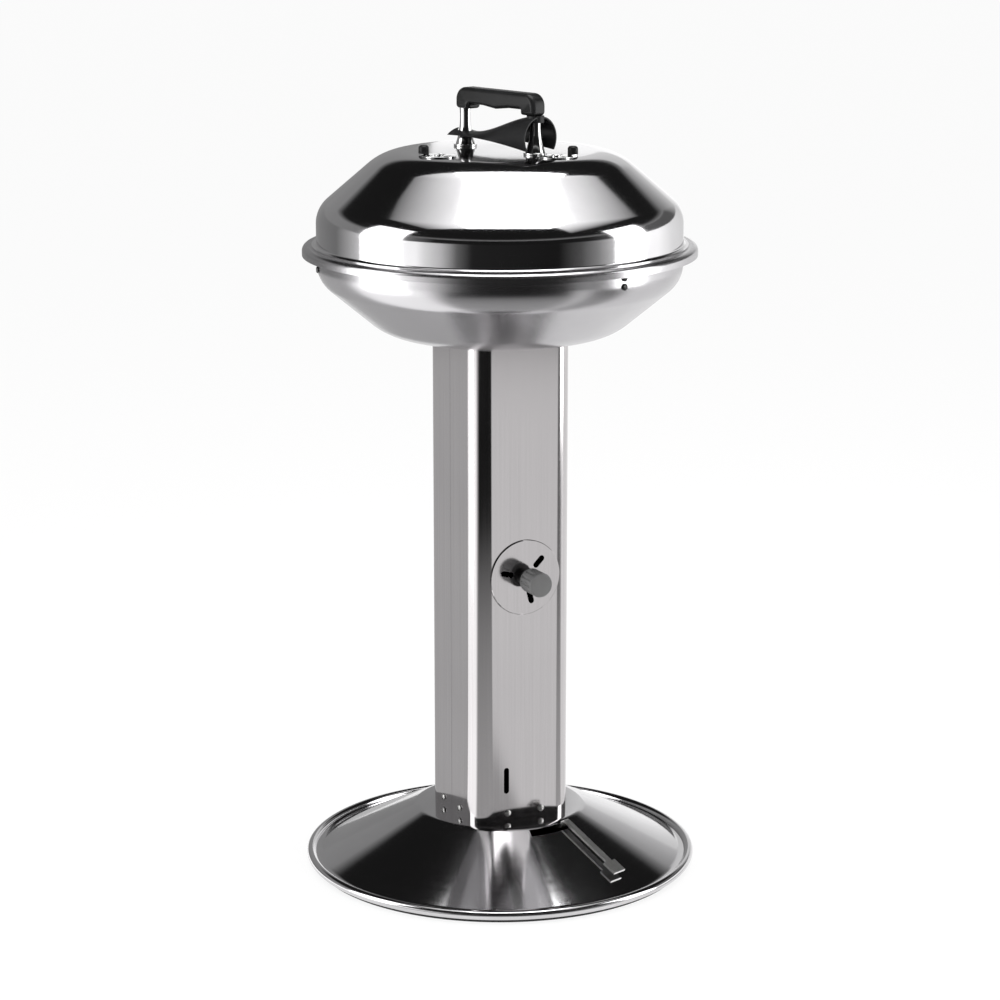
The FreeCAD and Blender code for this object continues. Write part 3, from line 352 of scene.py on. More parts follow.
class Tree:
    """Short way of writing a material's nodes."""

    def __init__(self, name: str) -> None:
        """Start a material with its surface shader."""
        self.material = bpy.data.materials.new(name)
        self.material.use_nodes = True
        self.nodes = self.material.node_tree.nodes
        self.surface = self.nodes["Principled BSDF"]
        self.place = self.nodes.new("ShaderNodeTexCoord").outputs["Object"]

    def link(self, source: bpy.types.NodeSocket, target: bpy.types.NodeSocket) -> None:
        """Join two sockets."""
        self.material.node_tree.links.new(source, target)

    def set(self, **values: object) -> None:
        """Set sockets of the surface shader that are the same all over; _ stands for a space."""
        for key, value in values.items():
            self.surface.inputs[key.replace("_", " ")].default_value = value

    def stretched(self, source: bpy.types.NodeSocket, scale: Sequence[float]) -> bpy.types.NodeSocket:
        """Coordinates scaled along each axis."""
        mapping = self.nodes.new("ShaderNodeMapping")
        mapping.inputs["Scale"].default_value = scale
        self.link(source, mapping.inputs["Vector"])
        return mapping.outputs["Vector"]

    def polar(self) -> bpy.types.NodeSocket:
        """Coordinates whose X is the distance from the vertical axis and whose Z is the height."""
        flat = self.nodes.new("ShaderNodeVectorMath")
        flat.operation = "MULTIPLY"
        flat.inputs[1].default_value = (1, 1, 0)
        self.link(self.place, flat.inputs[0])
        length = self.nodes.new("ShaderNodeVectorMath")
        length.operation = "LENGTH"
        self.link(flat.outputs["Vector"], length.inputs[0])
        split = self.nodes.new("ShaderNodeSeparateXYZ")
        self.link(self.place, split.inputs["Vector"])
        joined = self.nodes.new("ShaderNodeCombineXYZ")
        self.link(length.outputs["Value"], joined.inputs["X"])
        self.link(split.outputs["Z"], joined.inputs["Z"])
        return joined.outputs["Vector"]

    def noise(self, source: bpy.types.NodeSocket, scale: float, detail: float) -> bpy.types.NodeSocket:
        """Value of a noise pattern.

        Args:
            source: coordinates.
            scale: how fine the pattern is.
            detail: how many finer layers it has.

        Returns:
            The value, mostly between PATTERN_LOW and PATTERN_HIGH.
        """
        node = self.nodes.new("ShaderNodeTexNoise")
        node.inputs["Scale"].default_value = scale
        node.inputs["Detail"].default_value = detail
        self.link(source, node.inputs["Vector"])
        return node.outputs["Fac"]

    def ranged(self, source: bpy.types.NodeSocket, low: float, high: float) -> bpy.types.NodeSocket:
        """A pattern's middle range stretched between two values."""
        node = self.nodes.new("ShaderNodeMapRange")
        node.inputs["From Min"].default_value = PATTERN_LOW
        node.inputs["From Max"].default_value = PATTERN_HIGH
        node.inputs["To Min"].default_value = low
        node.inputs["To Max"].default_value = high
        self.link(source, node.inputs["Value"])
        return node.outputs["Result"]

    def added(self, one: bpy.types.NodeSocket, two: bpy.types.NodeSocket) -> bpy.types.NodeSocket:
        """Sum of two values."""
        node = self.nodes.new("ShaderNodeMath")
        node.operation = "ADD"
        self.link(one, node.inputs[0])
        self.link(two, node.inputs[1])
        return node.outputs["Value"]

    def tinted(self, source: bpy.types.NodeSocket, dark: Colour, light: Colour) -> bpy.types.NodeSocket:
        """Colour between two, by a pattern."""
        node = self.nodes.new("ShaderNodeValToRGB")
        stops = ((PATTERN_LOW, dark), (PATTERN_HIGH, light))
        for element, (position, colour) in zip(node.color_ramp.elements, stops):
            element.position = position
            element.color = (*colour, 1)
        self.link(source, node.inputs["Fac"])
        return node.outputs["Color"]

    def bumped(self, source: bpy.types.NodeSocket, strength: float, distance: float) -> None:
        """Raise the surface by a pattern.

        Args:
            source: the pattern.
            strength: how strongly it shows.
            distance: height of a full step, in metres.
        """
        node = self.nodes.new("ShaderNodeBump")
        node.inputs["Strength"].default_value = strength
        node.inputs["Distance"].default_value = distance
        self.link(source, node.inputs["Height"])
        self.link(node.outputs["Normal"], self.surface.inputs["Normal"])


@dataclass(frozen=True)
class SpunSteel:
    """Polished steel with the faint rings that spinning and buffing leave."""

    name: str
    dark: Colour = (0.600, 0.593, 0.603)
    light: Colour = (0.700, 0.692, 0.704)
    smoothest: float = 0.05
    roughest: float = 0.13
    ring_scale: float = 900.0
    ring_detail: float = 2.0
    ring_depth: float = 0.02
    ring_height: float = 0.5 * MM
    smudge_scale: float = 7.0
    smudge_detail: float = 5.0

    def build(self) -> bpy.types.Material:
        """Make the material."""
        tree = Tree(self.name)
        rings = tree.noise(tree.polar(), self.ring_scale, self.ring_detail)
        smudges = tree.noise(tree.place, self.smudge_scale, self.smudge_detail)
        middle = (self.smoothest + self.roughest) / 2
        rough = tree.added(tree.ranged(smudges, self.smoothest, middle),
                           tree.ranged(rings, 0.0, self.roughest - middle))
        tree.link(rough, tree.surface.inputs["Roughness"])
        tree.link(tree.tinted(smudges, self.dark, self.light), tree.surface.inputs["Base Color"])
        tree.bumped(rings, self.ring_depth, self.ring_height)
        tree.set(Metallic=1.0)
        return tree.material


@dataclass(frozen=True)
class GrainedSteel:
    """Steel sheet, bar or wire with a straight polishing grain."""

    name: str
    dark: Colour
    light: Colour
    smoothest: float
    roughest: float
    grain: tuple[float, float, float] = (500.0, 500.0, 6.0)
    grain_depth: float = 0.06
    grain_height: float = 0.4 * MM
    grain_share: Span = (0.2, 0.4)
    cloud_scale: float = 5.0
    cloud_share: Span = (0.1, 0.3)
    detail: float = 4.0

    def build(self) -> bpy.types.Material:
        """Make the material."""
        tree = Tree(self.name)
        grain = tree.noise(tree.stretched(tree.place, self.grain), 1.0, self.detail)
        clouds = tree.noise(tree.place, self.cloud_scale, self.detail)
        middle = (self.smoothest + self.roughest) / 2
        rough = tree.added(tree.ranged(grain, self.smoothest, middle),
                           tree.ranged(clouds, 0.0, self.roughest - middle))
        tree.link(rough, tree.surface.inputs["Roughness"])
        mixed = tree.added(tree.ranged(grain, *self.grain_share), tree.ranged(clouds, *self.cloud_share))
        tree.link(tree.tinted(mixed, self.dark, self.light), tree.surface.inputs["Base Color"])
        tree.bumped(grain, self.grain_depth, self.grain_height)
        tree.set(Metallic=1.0)
        return tree.material


@dataclass(frozen=True)
class Moulding:
    """Moulded plastic or rubber with a fine skin."""

    name: str
    dark: Colour
    light: Colour
    smoothest: float
    roughest: float
    shine: float = 0.5
    skin_scale: float = 700.0
    skin_detail: float = 2.0
    skin_depth: float = 0.12
    skin_height: float = 0.3 * MM
    wear_scale: float = 18.0
    wear_detail: float = 5.0

    def build(self) -> bpy.types.Material:
        """Make the material."""
        tree = Tree(self.name)
        skin = tree.noise(tree.place, self.skin_scale, self.skin_detail)
        wear = tree.noise(tree.place, self.wear_scale, self.wear_detail)
        tree.link(tree.ranged(wear, self.smoothest, self.roughest), tree.surface.inputs["Roughness"])
        tree.link(tree.tinted(wear, self.dark, self.light), tree.surface.inputs["Base Color"])
        tree.bumped(skin, self.skin_depth, self.skin_height)
        tree.set(Specular_IOR_Level=self.shine)
        return tree.material


BOWL_STEEL = SpunSteel("spun satin steel", (0.460, 0.452, 0.464), (0.540, 0.531, 0.544), 0.18, 0.28)
FINISHES = {
    "polished_steel": SpunSteel("spun polished steel"),
    "satin_steel": GrainedSteel("satin steel", (0.520, 0.502, 0.508), (0.600, 0.580, 0.586), 0.08, 0.15,
                                grain=(400.0, 400.0, 3.0), grain_depth=0.015),
    "plain_steel": GrainedSteel("plain steel", (0.40, 0.40, 0.39), (0.52, 0.52, 0.51), 0.25, 0.42,
                                grain=(260.0, 260.0, 60.0)),
    "wire_steel": GrainedSteel("drawn wire", (0.42, 0.42, 0.41), (0.56, 0.56, 0.55), 0.18, 0.34,
                               grain=(150.0, 150.0, 150.0)),
    "bright_trim": GrainedSteel("bright trim", (0.70, 0.70, 0.70), (0.78, 0.78, 0.78), 0.04, 0.10,
                                grain=(120.0, 120.0, 40.0), grain_depth=0.01),
    "black_moulding": Moulding("black moulding", (0.008, 0.008, 0.008), (0.016, 0.016, 0.017), 0.28, 0.42,
                               shine=0.2),
    # Grey moulding: lighter than the black moulding, a painted sheen standing for the light that falls on the
    # knob's end face.
    "grey_moulding": Moulding("grey moulding painted sheen", (0.10, 0.10, 0.10), (0.15, 0.15, 0.15), 0.30, 0.45),
    "dark_fastener": GrainedSteel("blackened fastener", (0.05, 0.05, 0.05), (0.09, 0.09, 0.09), 0.25, 0.40),
    "black_rubber": Moulding("black rubber", (0.010, 0.010, 0.010), (0.020, 0.020, 0.020), 0.55, 0.75),
}
# Vent knobs dressed in black moulding instead of their own slot: a painted dark reflection, standing for the dark
# lid that their chrome reflects.
KNOBS_DARKENED_AS_REFLECTION = ("vent_front_knob", "vent_side_knob")


class Wardrobe:
    """Makes each finish once and dresses pieces by the record's material slots."""

    def __init__(self) -> None:
        """Build the materials and read which node has which slot."""
        self.materials = {slot: finish.build() for slot, finish in FINISHES.items()}
        self.slots = {part["node"]: part["material_slot"] for part in frame["record"]["subparts"]}

    def dress(self, piece: bpy.types.Object, slot: str) -> None:
        """Give a piece the material of a slot."""
        piece.data.materials.clear()
        piece.data.materials.append(self.materials[slot])

    def stand_in(self, piece: bpy.types.Object, body: str, *nodes: str) -> None:
        """Let a new piece stand for CAD nodes on a body.

        Args:
            piece: the new piece.
            body: name of the body that it rides on.
            nodes: names of the nodes that it replaces, the first of which gives its slot.
        """
        slot = self.slots[nodes[0]]
        # Vent knobs get black moulding here in place of their own slot: a painted dark reflection.
        self.dress(piece, "black_moulding" if nodes[0] in KNOBS_DARKENED_AS_REFLECTION else slot)
        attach(piece, body)
        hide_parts(*nodes)
        LOG.info("%s stands for %s on %s", piece.name, ", ".join(nodes), body)

    def dress_rest(self) -> None:
        """Dress every CAD node that is still shown."""
        for name, node in frame["nodes"].items():
            if not node.hide_render:
                self.dress(node, self.slots[name])
                LOG.info("%s keeps its own shape", name)


@dataclass
class SpunLid:
    """Spun lid with its outward lip, vent holes and flat top."""

    wall_radius: float = 250.5 * MM
    lip_width: float = 6.5 * MM
    lip_bend: float = 3 * MM
    wall_height: float = 47.8 * MM
    knuckle_bend: float = 40 * MM
    top_corner: float = 158 * MM
    top_bend: float = 80 * MM
    flat_ring: float = 60 * MM
    vent_circle: float = 110 * MM
    vent_turns: tuple[float, ...] = (0.0, -90.0)
    hole_radius: float = 5 * MM
    hole_circle: float = 14 * MM
    holes: int = 3
    segments: int = 192
    arc_step: float = math.radians(2)

    def build(self, wardrobe: Wardrobe) -> None:
        """Model the lid and put it on its body."""
        corners = [(self.wall_radius + self.lip_width, RIM_Z + SHEET), (self.wall_radius, RIM_Z + SHEET),
                   (self.wall_radius, RIM_Z + self.wall_height), (self.top_corner, LID_TOP_Z),
                   (self.flat_ring, LID_TOP_Z), (0.0, LID_TOP_Z)]
        bends = [self.lip_bend, self.knuckle_bend, self.top_bend, 0.0]
        piece = Bench.turned("lid_spun_shell", rounded_profile(corners, bends, self.arc_step), self.segments)
        Bench.thicken(piece)
        Bench.cut(piece, self.vent_cutters())
        Bench.smooth(piece)
        wardrobe.stand_in(piece, "lid", "lid_shell")

    def vent_cutters(self) -> list[bpy.types.Object]:
        """Round cutters for both vents' holes."""
        cutters = []
        for turn in self.vent_turns:
            pivot = heading(LID_TURN + turn) * self.vent_circle + Vector((0, 0, LID_TOP_Z))
            for i in range(self.holes):
                centre = pivot + heading(LID_TURN + i * 360 / self.holes) * self.hole_circle
                cutters.append(Bench.rod("vent_cutter", self.hole_radius, HOLE_CUT, centre, Axis.Z))
        return cutters


@dataclass
class SpunBowl:
    """Spun bowl with a flanged rim and a draught hole in its floor."""

    rim_radius: float = 270 * MM
    rim_lip: float = 13 * MM
    rim_bend: float = 7 * MM
    wall_radius: float = 250 * MM
    flange_bend: float = 4 * MM
    wall_height: float = 46 * MM
    knuckle_bend: float = 40 * MM
    lower_radius: float = 163 * MM
    lower_depth: float = 117 * MM
    lower_bend: float = 80 * MM
    floor_radius: float = 112 * MM
    floor_bend: float = 30 * MM
    draught_radius: float = 60 * MM
    segments: int = 192
    arc_step: float = math.radians(3)

    def build(self, wardrobe: Wardrobe) -> None:
        """Model the bowl and put it on its body."""
        inside = self.wall_radius - SHEET
        floor = BOWL_FLOOR_Z + SHEET
        corners = [(self.rim_radius, RIM_Z - self.rim_lip), (self.rim_radius, RIM_Z), (inside, RIM_Z),
                   (inside, RIM_Z - self.wall_height + SHEET),
                   (self.lower_radius, RIM_Z - self.lower_depth + SHEET),
                   (self.floor_radius, floor), (self.draught_radius, floor)]
        bends = [self.rim_bend, self.flange_bend, self.knuckle_bend, self.lower_bend, self.floor_bend]
        piece = Bench.turned("bowl_spun_shell", rounded_profile(corners, bends, self.arc_step), self.segments)
        self.face_inwards(piece)
        Bench.thicken(piece)
        Bench.smooth(piece)
        wardrobe.stand_in(piece, "stand", "bowl")
        piece.data.materials[0] = BOWL_STEEL.build()

    @staticmethod
    def face_inwards(piece: bpy.types.Object) -> None:
        """Turn the surface's faces up, so that its thickness grows downwards and outwards."""
        lowest = min(piece.data.polygons, key=lambda face: face.center.z)
        if lowest.normal.z < 0:
            with Bench.editing(piece):
                bpy.ops.mesh.flip_normals()


@dataclass
class DomedBase:
    """Spun base dish with a rolled edge and an arc slot for the ash lever."""

    radius: float = 276.5 * MM
    bead_radius: float = 6.5 * MM
    bead_height: float = 11.5 * MM
    bead_steps: int = 24
    flange_width: float = 6 * MM
    foot_bend: float = 18 * MM
    plateau_radius: float = 118 * MM
    plateau_bend: float = 25 * MM
    flat_ring: float = 60 * MM
    slot_inner: float = 121 * MM
    slot_width: float = 13 * MM
    slot_start: float = -7.315
    slot_end: float = 22.315
    slot_steps: int = 16
    port_radius: float = 17 * MM
    port_circle: float = 31 * MM
    ports: int = 3
    segments: int = 192
    arc_step: float = math.radians(2)

    def build(self, wardrobe: Wardrobe) -> None:
        """Model the dish and put it on its body."""
        centre = self.radius - self.bead_radius
        top = self.bead_height + SHEET / 2
        roll = math.pi - math.asin((top - self.bead_height) / self.bead_radius)
        turn = roll + math.pi / 2
        bead = [(centre + self.bead_radius * math.cos(a), self.bead_height + self.bead_radius * math.sin(a))
                for a in (turn * i / self.bead_steps - math.pi / 2 for i in range(self.bead_steps + 1))]
        corners = [bead[-1], (centre - self.bead_radius - self.flange_width, top),
                   (self.plateau_radius, PLATEAU_Z), (self.flat_ring, PLATEAU_Z), (0.0, PLATEAU_Z)]
        dome = rounded_profile(corners, [self.foot_bend, self.plateau_bend, 0.0], self.arc_step)
        piece = Bench.turned("base_spun_dish", bead + dome[1:], self.segments)
        Bench.thicken(piece)
        Bench.cut(piece, [self.slot_cutter()] + self.port_cutters())
        Bench.smooth(piece)
        wardrobe.stand_in(piece, "stand", "base_dish")

    def slot_cutter(self) -> bpy.types.Object:
        """Arc-shaped cutter for the ash lever's slot."""
        Bench.clear()
        bpy.ops.mesh.primitive_plane_add(size=1.0)
        piece = bpy.context.object
        piece.scale = (self.slot_width, PLATEAU_Z / 2, 1.0)
        piece.rotation_euler = (math.pi / 2, 0.0, math.radians(self.slot_start - 90))
        piece.location = heading(self.slot_start) * (self.slot_inner + self.slot_width / 2) \
            + Vector((0, 0, PLATEAU_Z))
        Bench.named("slot_cutter")
        sweep = math.radians(self.slot_end - self.slot_start)
        with Bench.editing(piece):
            bpy.ops.mesh.spin(steps=self.slot_steps, angle=-sweep, center=(0, 0, 0), axis=(0, 0, 1))
            bpy.ops.mesh.select_all(action="SELECT")
            bpy.ops.mesh.remove_doubles(threshold=WELD_DISTANCE)
            bpy.ops.mesh.normals_make_consistent(inside=False)
        return piece

    def port_cutters(self) -> list[bpy.types.Object]:
        """Round cutters for the ash ports under the column."""
        middle = Vector((0, 0, PLATEAU_Z))
        places = [middle + heading(i * 360 / self.ports) * self.port_circle for i in range(self.ports)]
        return [Bench.rod("port_cutter", self.port_radius, HOLE_CUT, place, Axis.Z) for place in places]


@dataclass
class ChimneyColumn:
    """Square column of two folded half shells, with the damper's slots and the lighting slot."""

    corner: float = 27 * MM
    seam_gap: float = 0.4 * MM
    damper_height: float = 430 * MM
    damper_slot_length: float = 20 * MM
    damper_slot_width: float = 8 * MM
    damper_slot_circle: float = 29 * MM
    damper_slot_turn: float = 45.0
    damper_slots: int = 3
    lighting_length: float = 38 * MM
    lighting_width: float = 8 * MM
    lighting_offset: float = -28 * MM
    lighting_height: float = 138 * MM
    corner_steps: int = 20

    def build(self, wardrobe: Wardrobe) -> None:
        """Model both shells and put them on their body."""
        front = self.half_shell("column_front_sheet", Half.FRONT)
        Bench.cut(front, self.slot_cutters())
        rear = self.half_shell("column_rear_sheet", Half.REAR)
        for piece, node in ((front, "column_front_shell"), (rear, "column_rear_shell")):
            Bench.smooth(piece)
            Bench.even_normals(piece)
            wardrobe.stand_in(piece, "stand", node)

    def half_shell(self, name: str, half: Half) -> bpy.types.Object:
        """One folded shell on one side of the seam plane.

        Args:
            name: name of the new object.
            half: which side of the seam it stands on.

        Returns:
            The shell, with its thickness.
        """
        height = BOWL_FLOOR_Z - PLATEAU_Z
        Bench.clear()
        bpy.ops.mesh.primitive_cube_add(size=1.0, location=(0, 0, PLATEAU_Z + height / 2))
        piece = bpy.context.object
        piece.scale = (COLUMN_SIDE, COLUMN_SIDE, height)
        Bench.named(name)
        with Bench.on_faces(piece, lambda face: abs(face.normal.z) > 0.5):
            bpy.ops.mesh.delete(type="ONLY_FACE")
        Bench.apply(piece, "BEVEL", width=self.corner, segments=self.corner_steps, limit_method="ANGLE")
        with Bench.editing(piece):
            bpy.ops.mesh.bisect(plane_co=(0, half.value * self.seam_gap / 2, 0), plane_no=(0, half.value, 0),
                                clear_inner=True)
        Bench.thicken(piece)
        return piece

    def slot_cutters(self) -> list[bpy.types.Object]:
        """Cutters for the damper's slots and the lighting slot in the front face."""
        face = Matrix.Translation((0, -COLUMN_SIDE / 2, self.damper_height))
        cutters = []
        for i in range(self.damper_slots):
            cutter = Bench.slot_cutter("damper_cutter", self.damper_slot_length, self.damper_slot_width, SLOT_CUT)
            turn = Matrix.Rotation(-math.radians(self.damper_slot_turn + i * 360 / self.damper_slots), 4, "Y")
            cutters.append(Bench.place(cutter, face @ turn @ Matrix.Translation((self.damper_slot_circle, 0, 0))))
        cutter = Bench.slot_cutter("lighting_cutter", self.lighting_length, self.lighting_width, SLOT_CUT)
        upright = Matrix.Translation((self.lighting_offset, -COLUMN_SIDE / 2, self.lighting_height))
        cutters.append(Bench.place(cutter, upright @ Matrix.Rotation(math.pi / 2, 4, "Y")))
        return cutters


@dataclass
class SmoothPieces:
    """Pieces whose solids already have the right shape: each is welded and shaded, and the rounded ones are first
    rounded at their edges.
    """

    edge: float = 0.35 * MM
    edge_angle: float = math.radians(50)
    steps: int = 2
    rounded: tuple[str, ...] = ("damper_disc", "sweeper_lever", "vent_front_shutter", "vent_side_shutter",
                                "heat_shield", "handle_post_front", "handle_post_rear")
    plain: tuple[str, ...] = ("handle_grip", "damper_knob", "damper_stem", "vent_front_knob", "vent_side_knob",
                              "vent_front_rivet", "vent_side_rivet", "floor_ring", "foot_screws",
                              "bracket_screws", "grate_ring", "grate_bars", "grate_cross_rods",
                              "grate_handle_left", "grate_handle_right", "fire_grate_ring", "fire_grate_bars",
                              "lid_hook", "grate_bracket_1", "grate_bracket_2", "grate_bracket_3", "ash_pan")

    def build(self, wardrobe: Wardrobe) -> None:
        """Make every copy and put it on its node's body."""
        for node in self.rounded + self.plain:
            piece = Bench.dressed_copy(node)
            if node in self.rounded:
                Bench.apply(piece, "BEVEL", width=self.edge, segments=self.steps, limit_method="ANGLE",
                            angle_limit=self.edge_angle)
            Bench.smooth(piece)
            if node in self.rounded:
                Bench.even_normals(piece)
            wardrobe.stand_in(piece, frame["nodes"][node]["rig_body"], node)


@dataclass(frozen=True)
class SoftBox:
    """Soft rectangular lamp that stands beside the object.

    Attributes:
        name: name of the lamp.
        turn: where it stands, in degrees to the right of the camera's direction, seen from the axis.
        distance: its distance from the axis.
        height: its height.
        aim: height of the point on the axis that it faces.
        size: width and height of its face.
        power: strength in watts.
    """

    name: str
    turn: float
    distance: float
    height: float
    aim: float
    size: Point
    power: float


@dataclass(frozen=True)
class BoxSide:
    """Card beside the overhead box that fades away from it.

    Attributes:
        inner: distance of its bright edge from the axis, to the right.
        outer: distance of its dark edge.
        length: length of its inner edge, away from the camera.
        outer_length: length of its outer edge.
        bright: light at its inner edge, 1 for white.
        dark: light at its outer edge.
    """

    inner: float
    outer: float
    length: float
    outer_length: float
    bright: float
    dark: float


@dataclass
class Studio:
    """Pale floor, soft lights, cards seen only in reflections, and the camera.

    Tones are stops of turn and light: the turn is in degrees to the right of the camera's direction, seen from
    the axis, and the light is 1 for white.
    """

    floor_size: float = 60.0
    floor_grey: float = 0.92
    floor_glow: float = 0.85
    fill: float = 0.8
    seen_fill: float = 0.2
    side_lamps: tuple[SoftBox, ...] = (SoftBox("left_box", -74, 1.6, 1.1, 1.1, (0.9, 2.1), 16),
                                       SoftBox("right_box", 85, 2.6, 1.2, 0.6, (1.2, 2.4), 30))
    box_height: float = 3.2
    box_place: float = 0.2
    box_size: Point = (1.6, 2.0)
    box_power: float = 50.0
    box_sides: tuple[BoxSide, ...] = (BoxSide(-0.6, -1.65, 2.0, 2.0, 1.45, 0.2),
                                       BoxSide(1.0, 2.25, 1.5, 3.8, 1.5, 0.1))
    ceiling_height: float = 4.5
    ceiling_reach: float = 9.0
    ceiling_dark: float = 7.0
    ceiling_dim: float = 0.012
    ceiling_pale: float = 0.3
    near_floor: Tones = ((-160, 0.55), (-106, 0.55), (-102, 1.6), (-46, 1.6), (-38, 0.75), (-32, 0.25),
                         (-26, 0.012), (42, 0.012), (47, 0.9), (56, 0.9), (60, 0.2), (76, 0.2), (88, 0.9))
    far_floor: Tones = ((-178, 0.3), (-120, 0.2), (-107, 0.42), (-92, 0.8), (-80, 1.4), (-52, 1.4), (-46, 1.0),
                        (-36, 0.68), (-26, 0.15), (-17, 0.02), (36, 0.012), (50, 0.095), (61, 0.28), (72, 0.63),
                        (84, 1.37), (113, 1.45), (133, 1.04), (160, 0.75), (172, 1.2), (182, 1.2))
    high_walls: Tones = ((-178, 0.3), (-116, 0.27), (-60, 0.2), (-40, 0.012), (55, 0.012), (90, 0.12), (145, 0.12),
                         (162, 0.7), (178, 0.75))
    floor_start: float = 0.3
    floor_break: float = 4.2
    foot_glow: float = 0.5
    foot_glow_reach: float = 2.1
    room_radius: float = 9.0
    wall_break: float = 2.2
    sweep_steps: int = 16
    card_clear: float = 0.004
    camera_turn: float = -26.5
    camera_distance: float = 3.994
    camera_height: float = 1.480
    camera_pitch: float = 14.35
    lens: float = 106.0
    lift: float = 0.045

    def build(self) -> None:
        """Set up everything round the object."""
        self.floor()
        self.world()
        self.lights()
        self.cards()
        self.camera()

    def toward_viewer(self) -> Vector:
        """Horizontal direction from the object to the camera."""
        return heading(self.camera_turn)

    def to_right(self) -> Vector:
        """Horizontal direction to the picture's right."""
        return heading(self.camera_turn + 90)

    def floor(self) -> None:
        """Large pale floor that keeps a soft shadow."""
        Bench.clear()
        bpy.ops.mesh.primitive_plane_add(size=self.floor_size)
        floor = Bench.named("studio_floor")
        material = bpy.data.materials.new("pale floor")
        material.use_nodes = True
        nodes, links = material.node_tree.nodes, material.node_tree.links
        nodes.remove(nodes["Principled BSDF"])
        matt = nodes.new("ShaderNodeBsdfDiffuse")
        matt.inputs["Color"].default_value = (self.floor_grey, self.floor_grey, self.floor_grey, 1)
        glow = nodes.new("ShaderNodeEmission")
        glow.inputs["Color"].default_value = WHITE
        mix = nodes.new("ShaderNodeMixShader")
        links.new(self.seen(nodes, links, self.floor_glow), mix.inputs["Fac"])
        links.new(matt.outputs["BSDF"], mix.inputs[1])
        links.new(glow.outputs["Emission"], mix.inputs[2])
        links.new(mix.outputs["Shader"], nodes["Material Output"].inputs["Surface"])
        floor.data.materials.append(material)

    @staticmethod
    def seen(nodes: bpy.types.Nodes, links: bpy.types.NodeLinks, share: float) -> bpy.types.NodeSocket:
        """Part of a material that some rays see and others don't.

        Args:
            nodes: nodes of the material or world.
            links: links between them.
            share: the value for rays that the camera, gloss or glass sends.

        Returns:
            That share for those rays, and 0 for the rest.
        """
        path = nodes.new("ShaderNodeLightPath")
        value = path.outputs["Is Camera Ray"]
        for name in ("Is Glossy Ray", "Is Transmission Ray"):
            node = nodes.new("ShaderNodeMath")
            node.operation = "MAXIMUM"
            links.new(value, node.inputs[0])
            links.new(path.outputs[name], node.inputs[1])
            value = node.outputs["Value"]
        scaled = nodes.new("ShaderNodeMath")
        scaled.operation = "MULTIPLY"
        scaled.inputs[1].default_value = share
        links.new(value, scaled.inputs[0])
        return scaled.outputs["Value"]

    def world(self) -> None:
        """White surroundings for the camera and for gloss, and a softer fill for the rest."""
        world = bpy.data.worlds.new("studio")
        bpy.context.scene.world = world
        world.use_nodes = True
        nodes, links = world.node_tree.nodes, world.node_tree.links
        background = nodes["Background"]
        background.inputs["Color"].default_value = WHITE
        strength = nodes.new("ShaderNodeMath")
        strength.operation = "ADD"
        strength.inputs[1].default_value = self.fill
        links.new(self.seen(nodes, links, self.seen_fill), strength.inputs[0])
        links.new(strength.outputs["Value"], background.inputs["Strength"])

    @staticmethod
    def lamp(name: str, place: Vector, aim: Vector, size: Point, power: float, spin: float = 0.0) -> None:
        """Soft rectangular lamp.

        Args:
            name: name of the lamp.
            place: where it stands.
            aim: point that it faces.
            size: width and height.
            power: strength in watts.
            spin: turn about the vertical in degrees, for a lamp that faces down.
        """
        data = bpy.data.lights.new(name, "AREA")
        data.shape = "RECTANGLE"
        data.size, data.size_y = size
        data.energy = power
        lamp = bpy.data.objects.new(name, data)
        lamp.location = place
        lamp.rotation_euler = (aim - place).to_track_quat("-Z", "Y").to_euler()
        lamp.rotation_euler.rotate_axis("Z", math.radians(spin))
        bpy.context.scene.collection.objects.link(lamp)

    def lights(self) -> None:
        """Overhead, left and right soft boxes."""
        up = Vector((0, 0, 1))
        over = up * self.box_height + self.to_right() * self.box_place
        self.lamp("overhead_box", over, over - up, self.box_size, self.box_power, self.camera_turn)
        for box in self.side_lamps:
            place = heading(self.camera_turn + box.turn) * box.distance + up * box.height
            self.lamp(box.name, place, up * box.aim, box.size, box.power)

    @staticmethod
    def seen_in_gloss(card: bpy.types.Object) -> bpy.types.NodeTree:
        """Make a card glow for reflections alone.

        Args:
            card: the card.

        Returns:
            The nodes of the card's material.
        """
        material = bpy.data.materials.new(card.name)
        material.use_nodes = True
        nodes, links = material.node_tree.nodes, material.node_tree.links
        nodes.remove(nodes["Principled BSDF"])
        glow = nodes.new("ShaderNodeEmission")
        glow.inputs["Color"].default_value = WHITE
        links.new(glow.outputs["Emission"], nodes["Material Output"].inputs["Surface"])
        card.data.materials.append(material)
        card.visible_camera = False
        card.visible_diffuse = False
        card.visible_shadow = False
        return material.node_tree

    @staticmethod
    def lit(tree: bpy.types.NodeTree, light: bpy.types.NodeSocket) -> None:
        """Let a card's glow follow a light, 1 for white."""
        tree.links.new(light, tree.nodes["Emission"].inputs["Strength"])

    def ceiling(self) -> None:
        """Ceiling that is dark over the object and pales towards its edge."""
        Bench.clear()
        bpy.ops.mesh.primitive_plane_add(size=self.floor_size)
        card = bpy.context.object
        card.name = "ceiling"
        card.location.z = self.ceiling_height
        tree = self.seen_in_gloss(card)
        place = tree.nodes.new("ShaderNodeTexCoord")
        scale = tree.nodes.new("ShaderNodeVectorMath")
        scale.operation = "SCALE"
        scale.inputs["Scale"].default_value = 1 / self.ceiling_reach
        tree.links.new(place.outputs["Object"], scale.inputs["Vector"])
        rings = tree.nodes.new("ShaderNodeTexGradient")
        rings.gradient_type = "SPHERICAL"
        tree.links.new(scale.outputs["Vector"], rings.inputs["Vector"])
        self.lit(tree, self.graded(tree, rings.outputs["Fac"], (0.0, 1 - self.ceiling_dark / self.ceiling_reach),
                                   (self.ceiling_pale, self.ceiling_dim)))

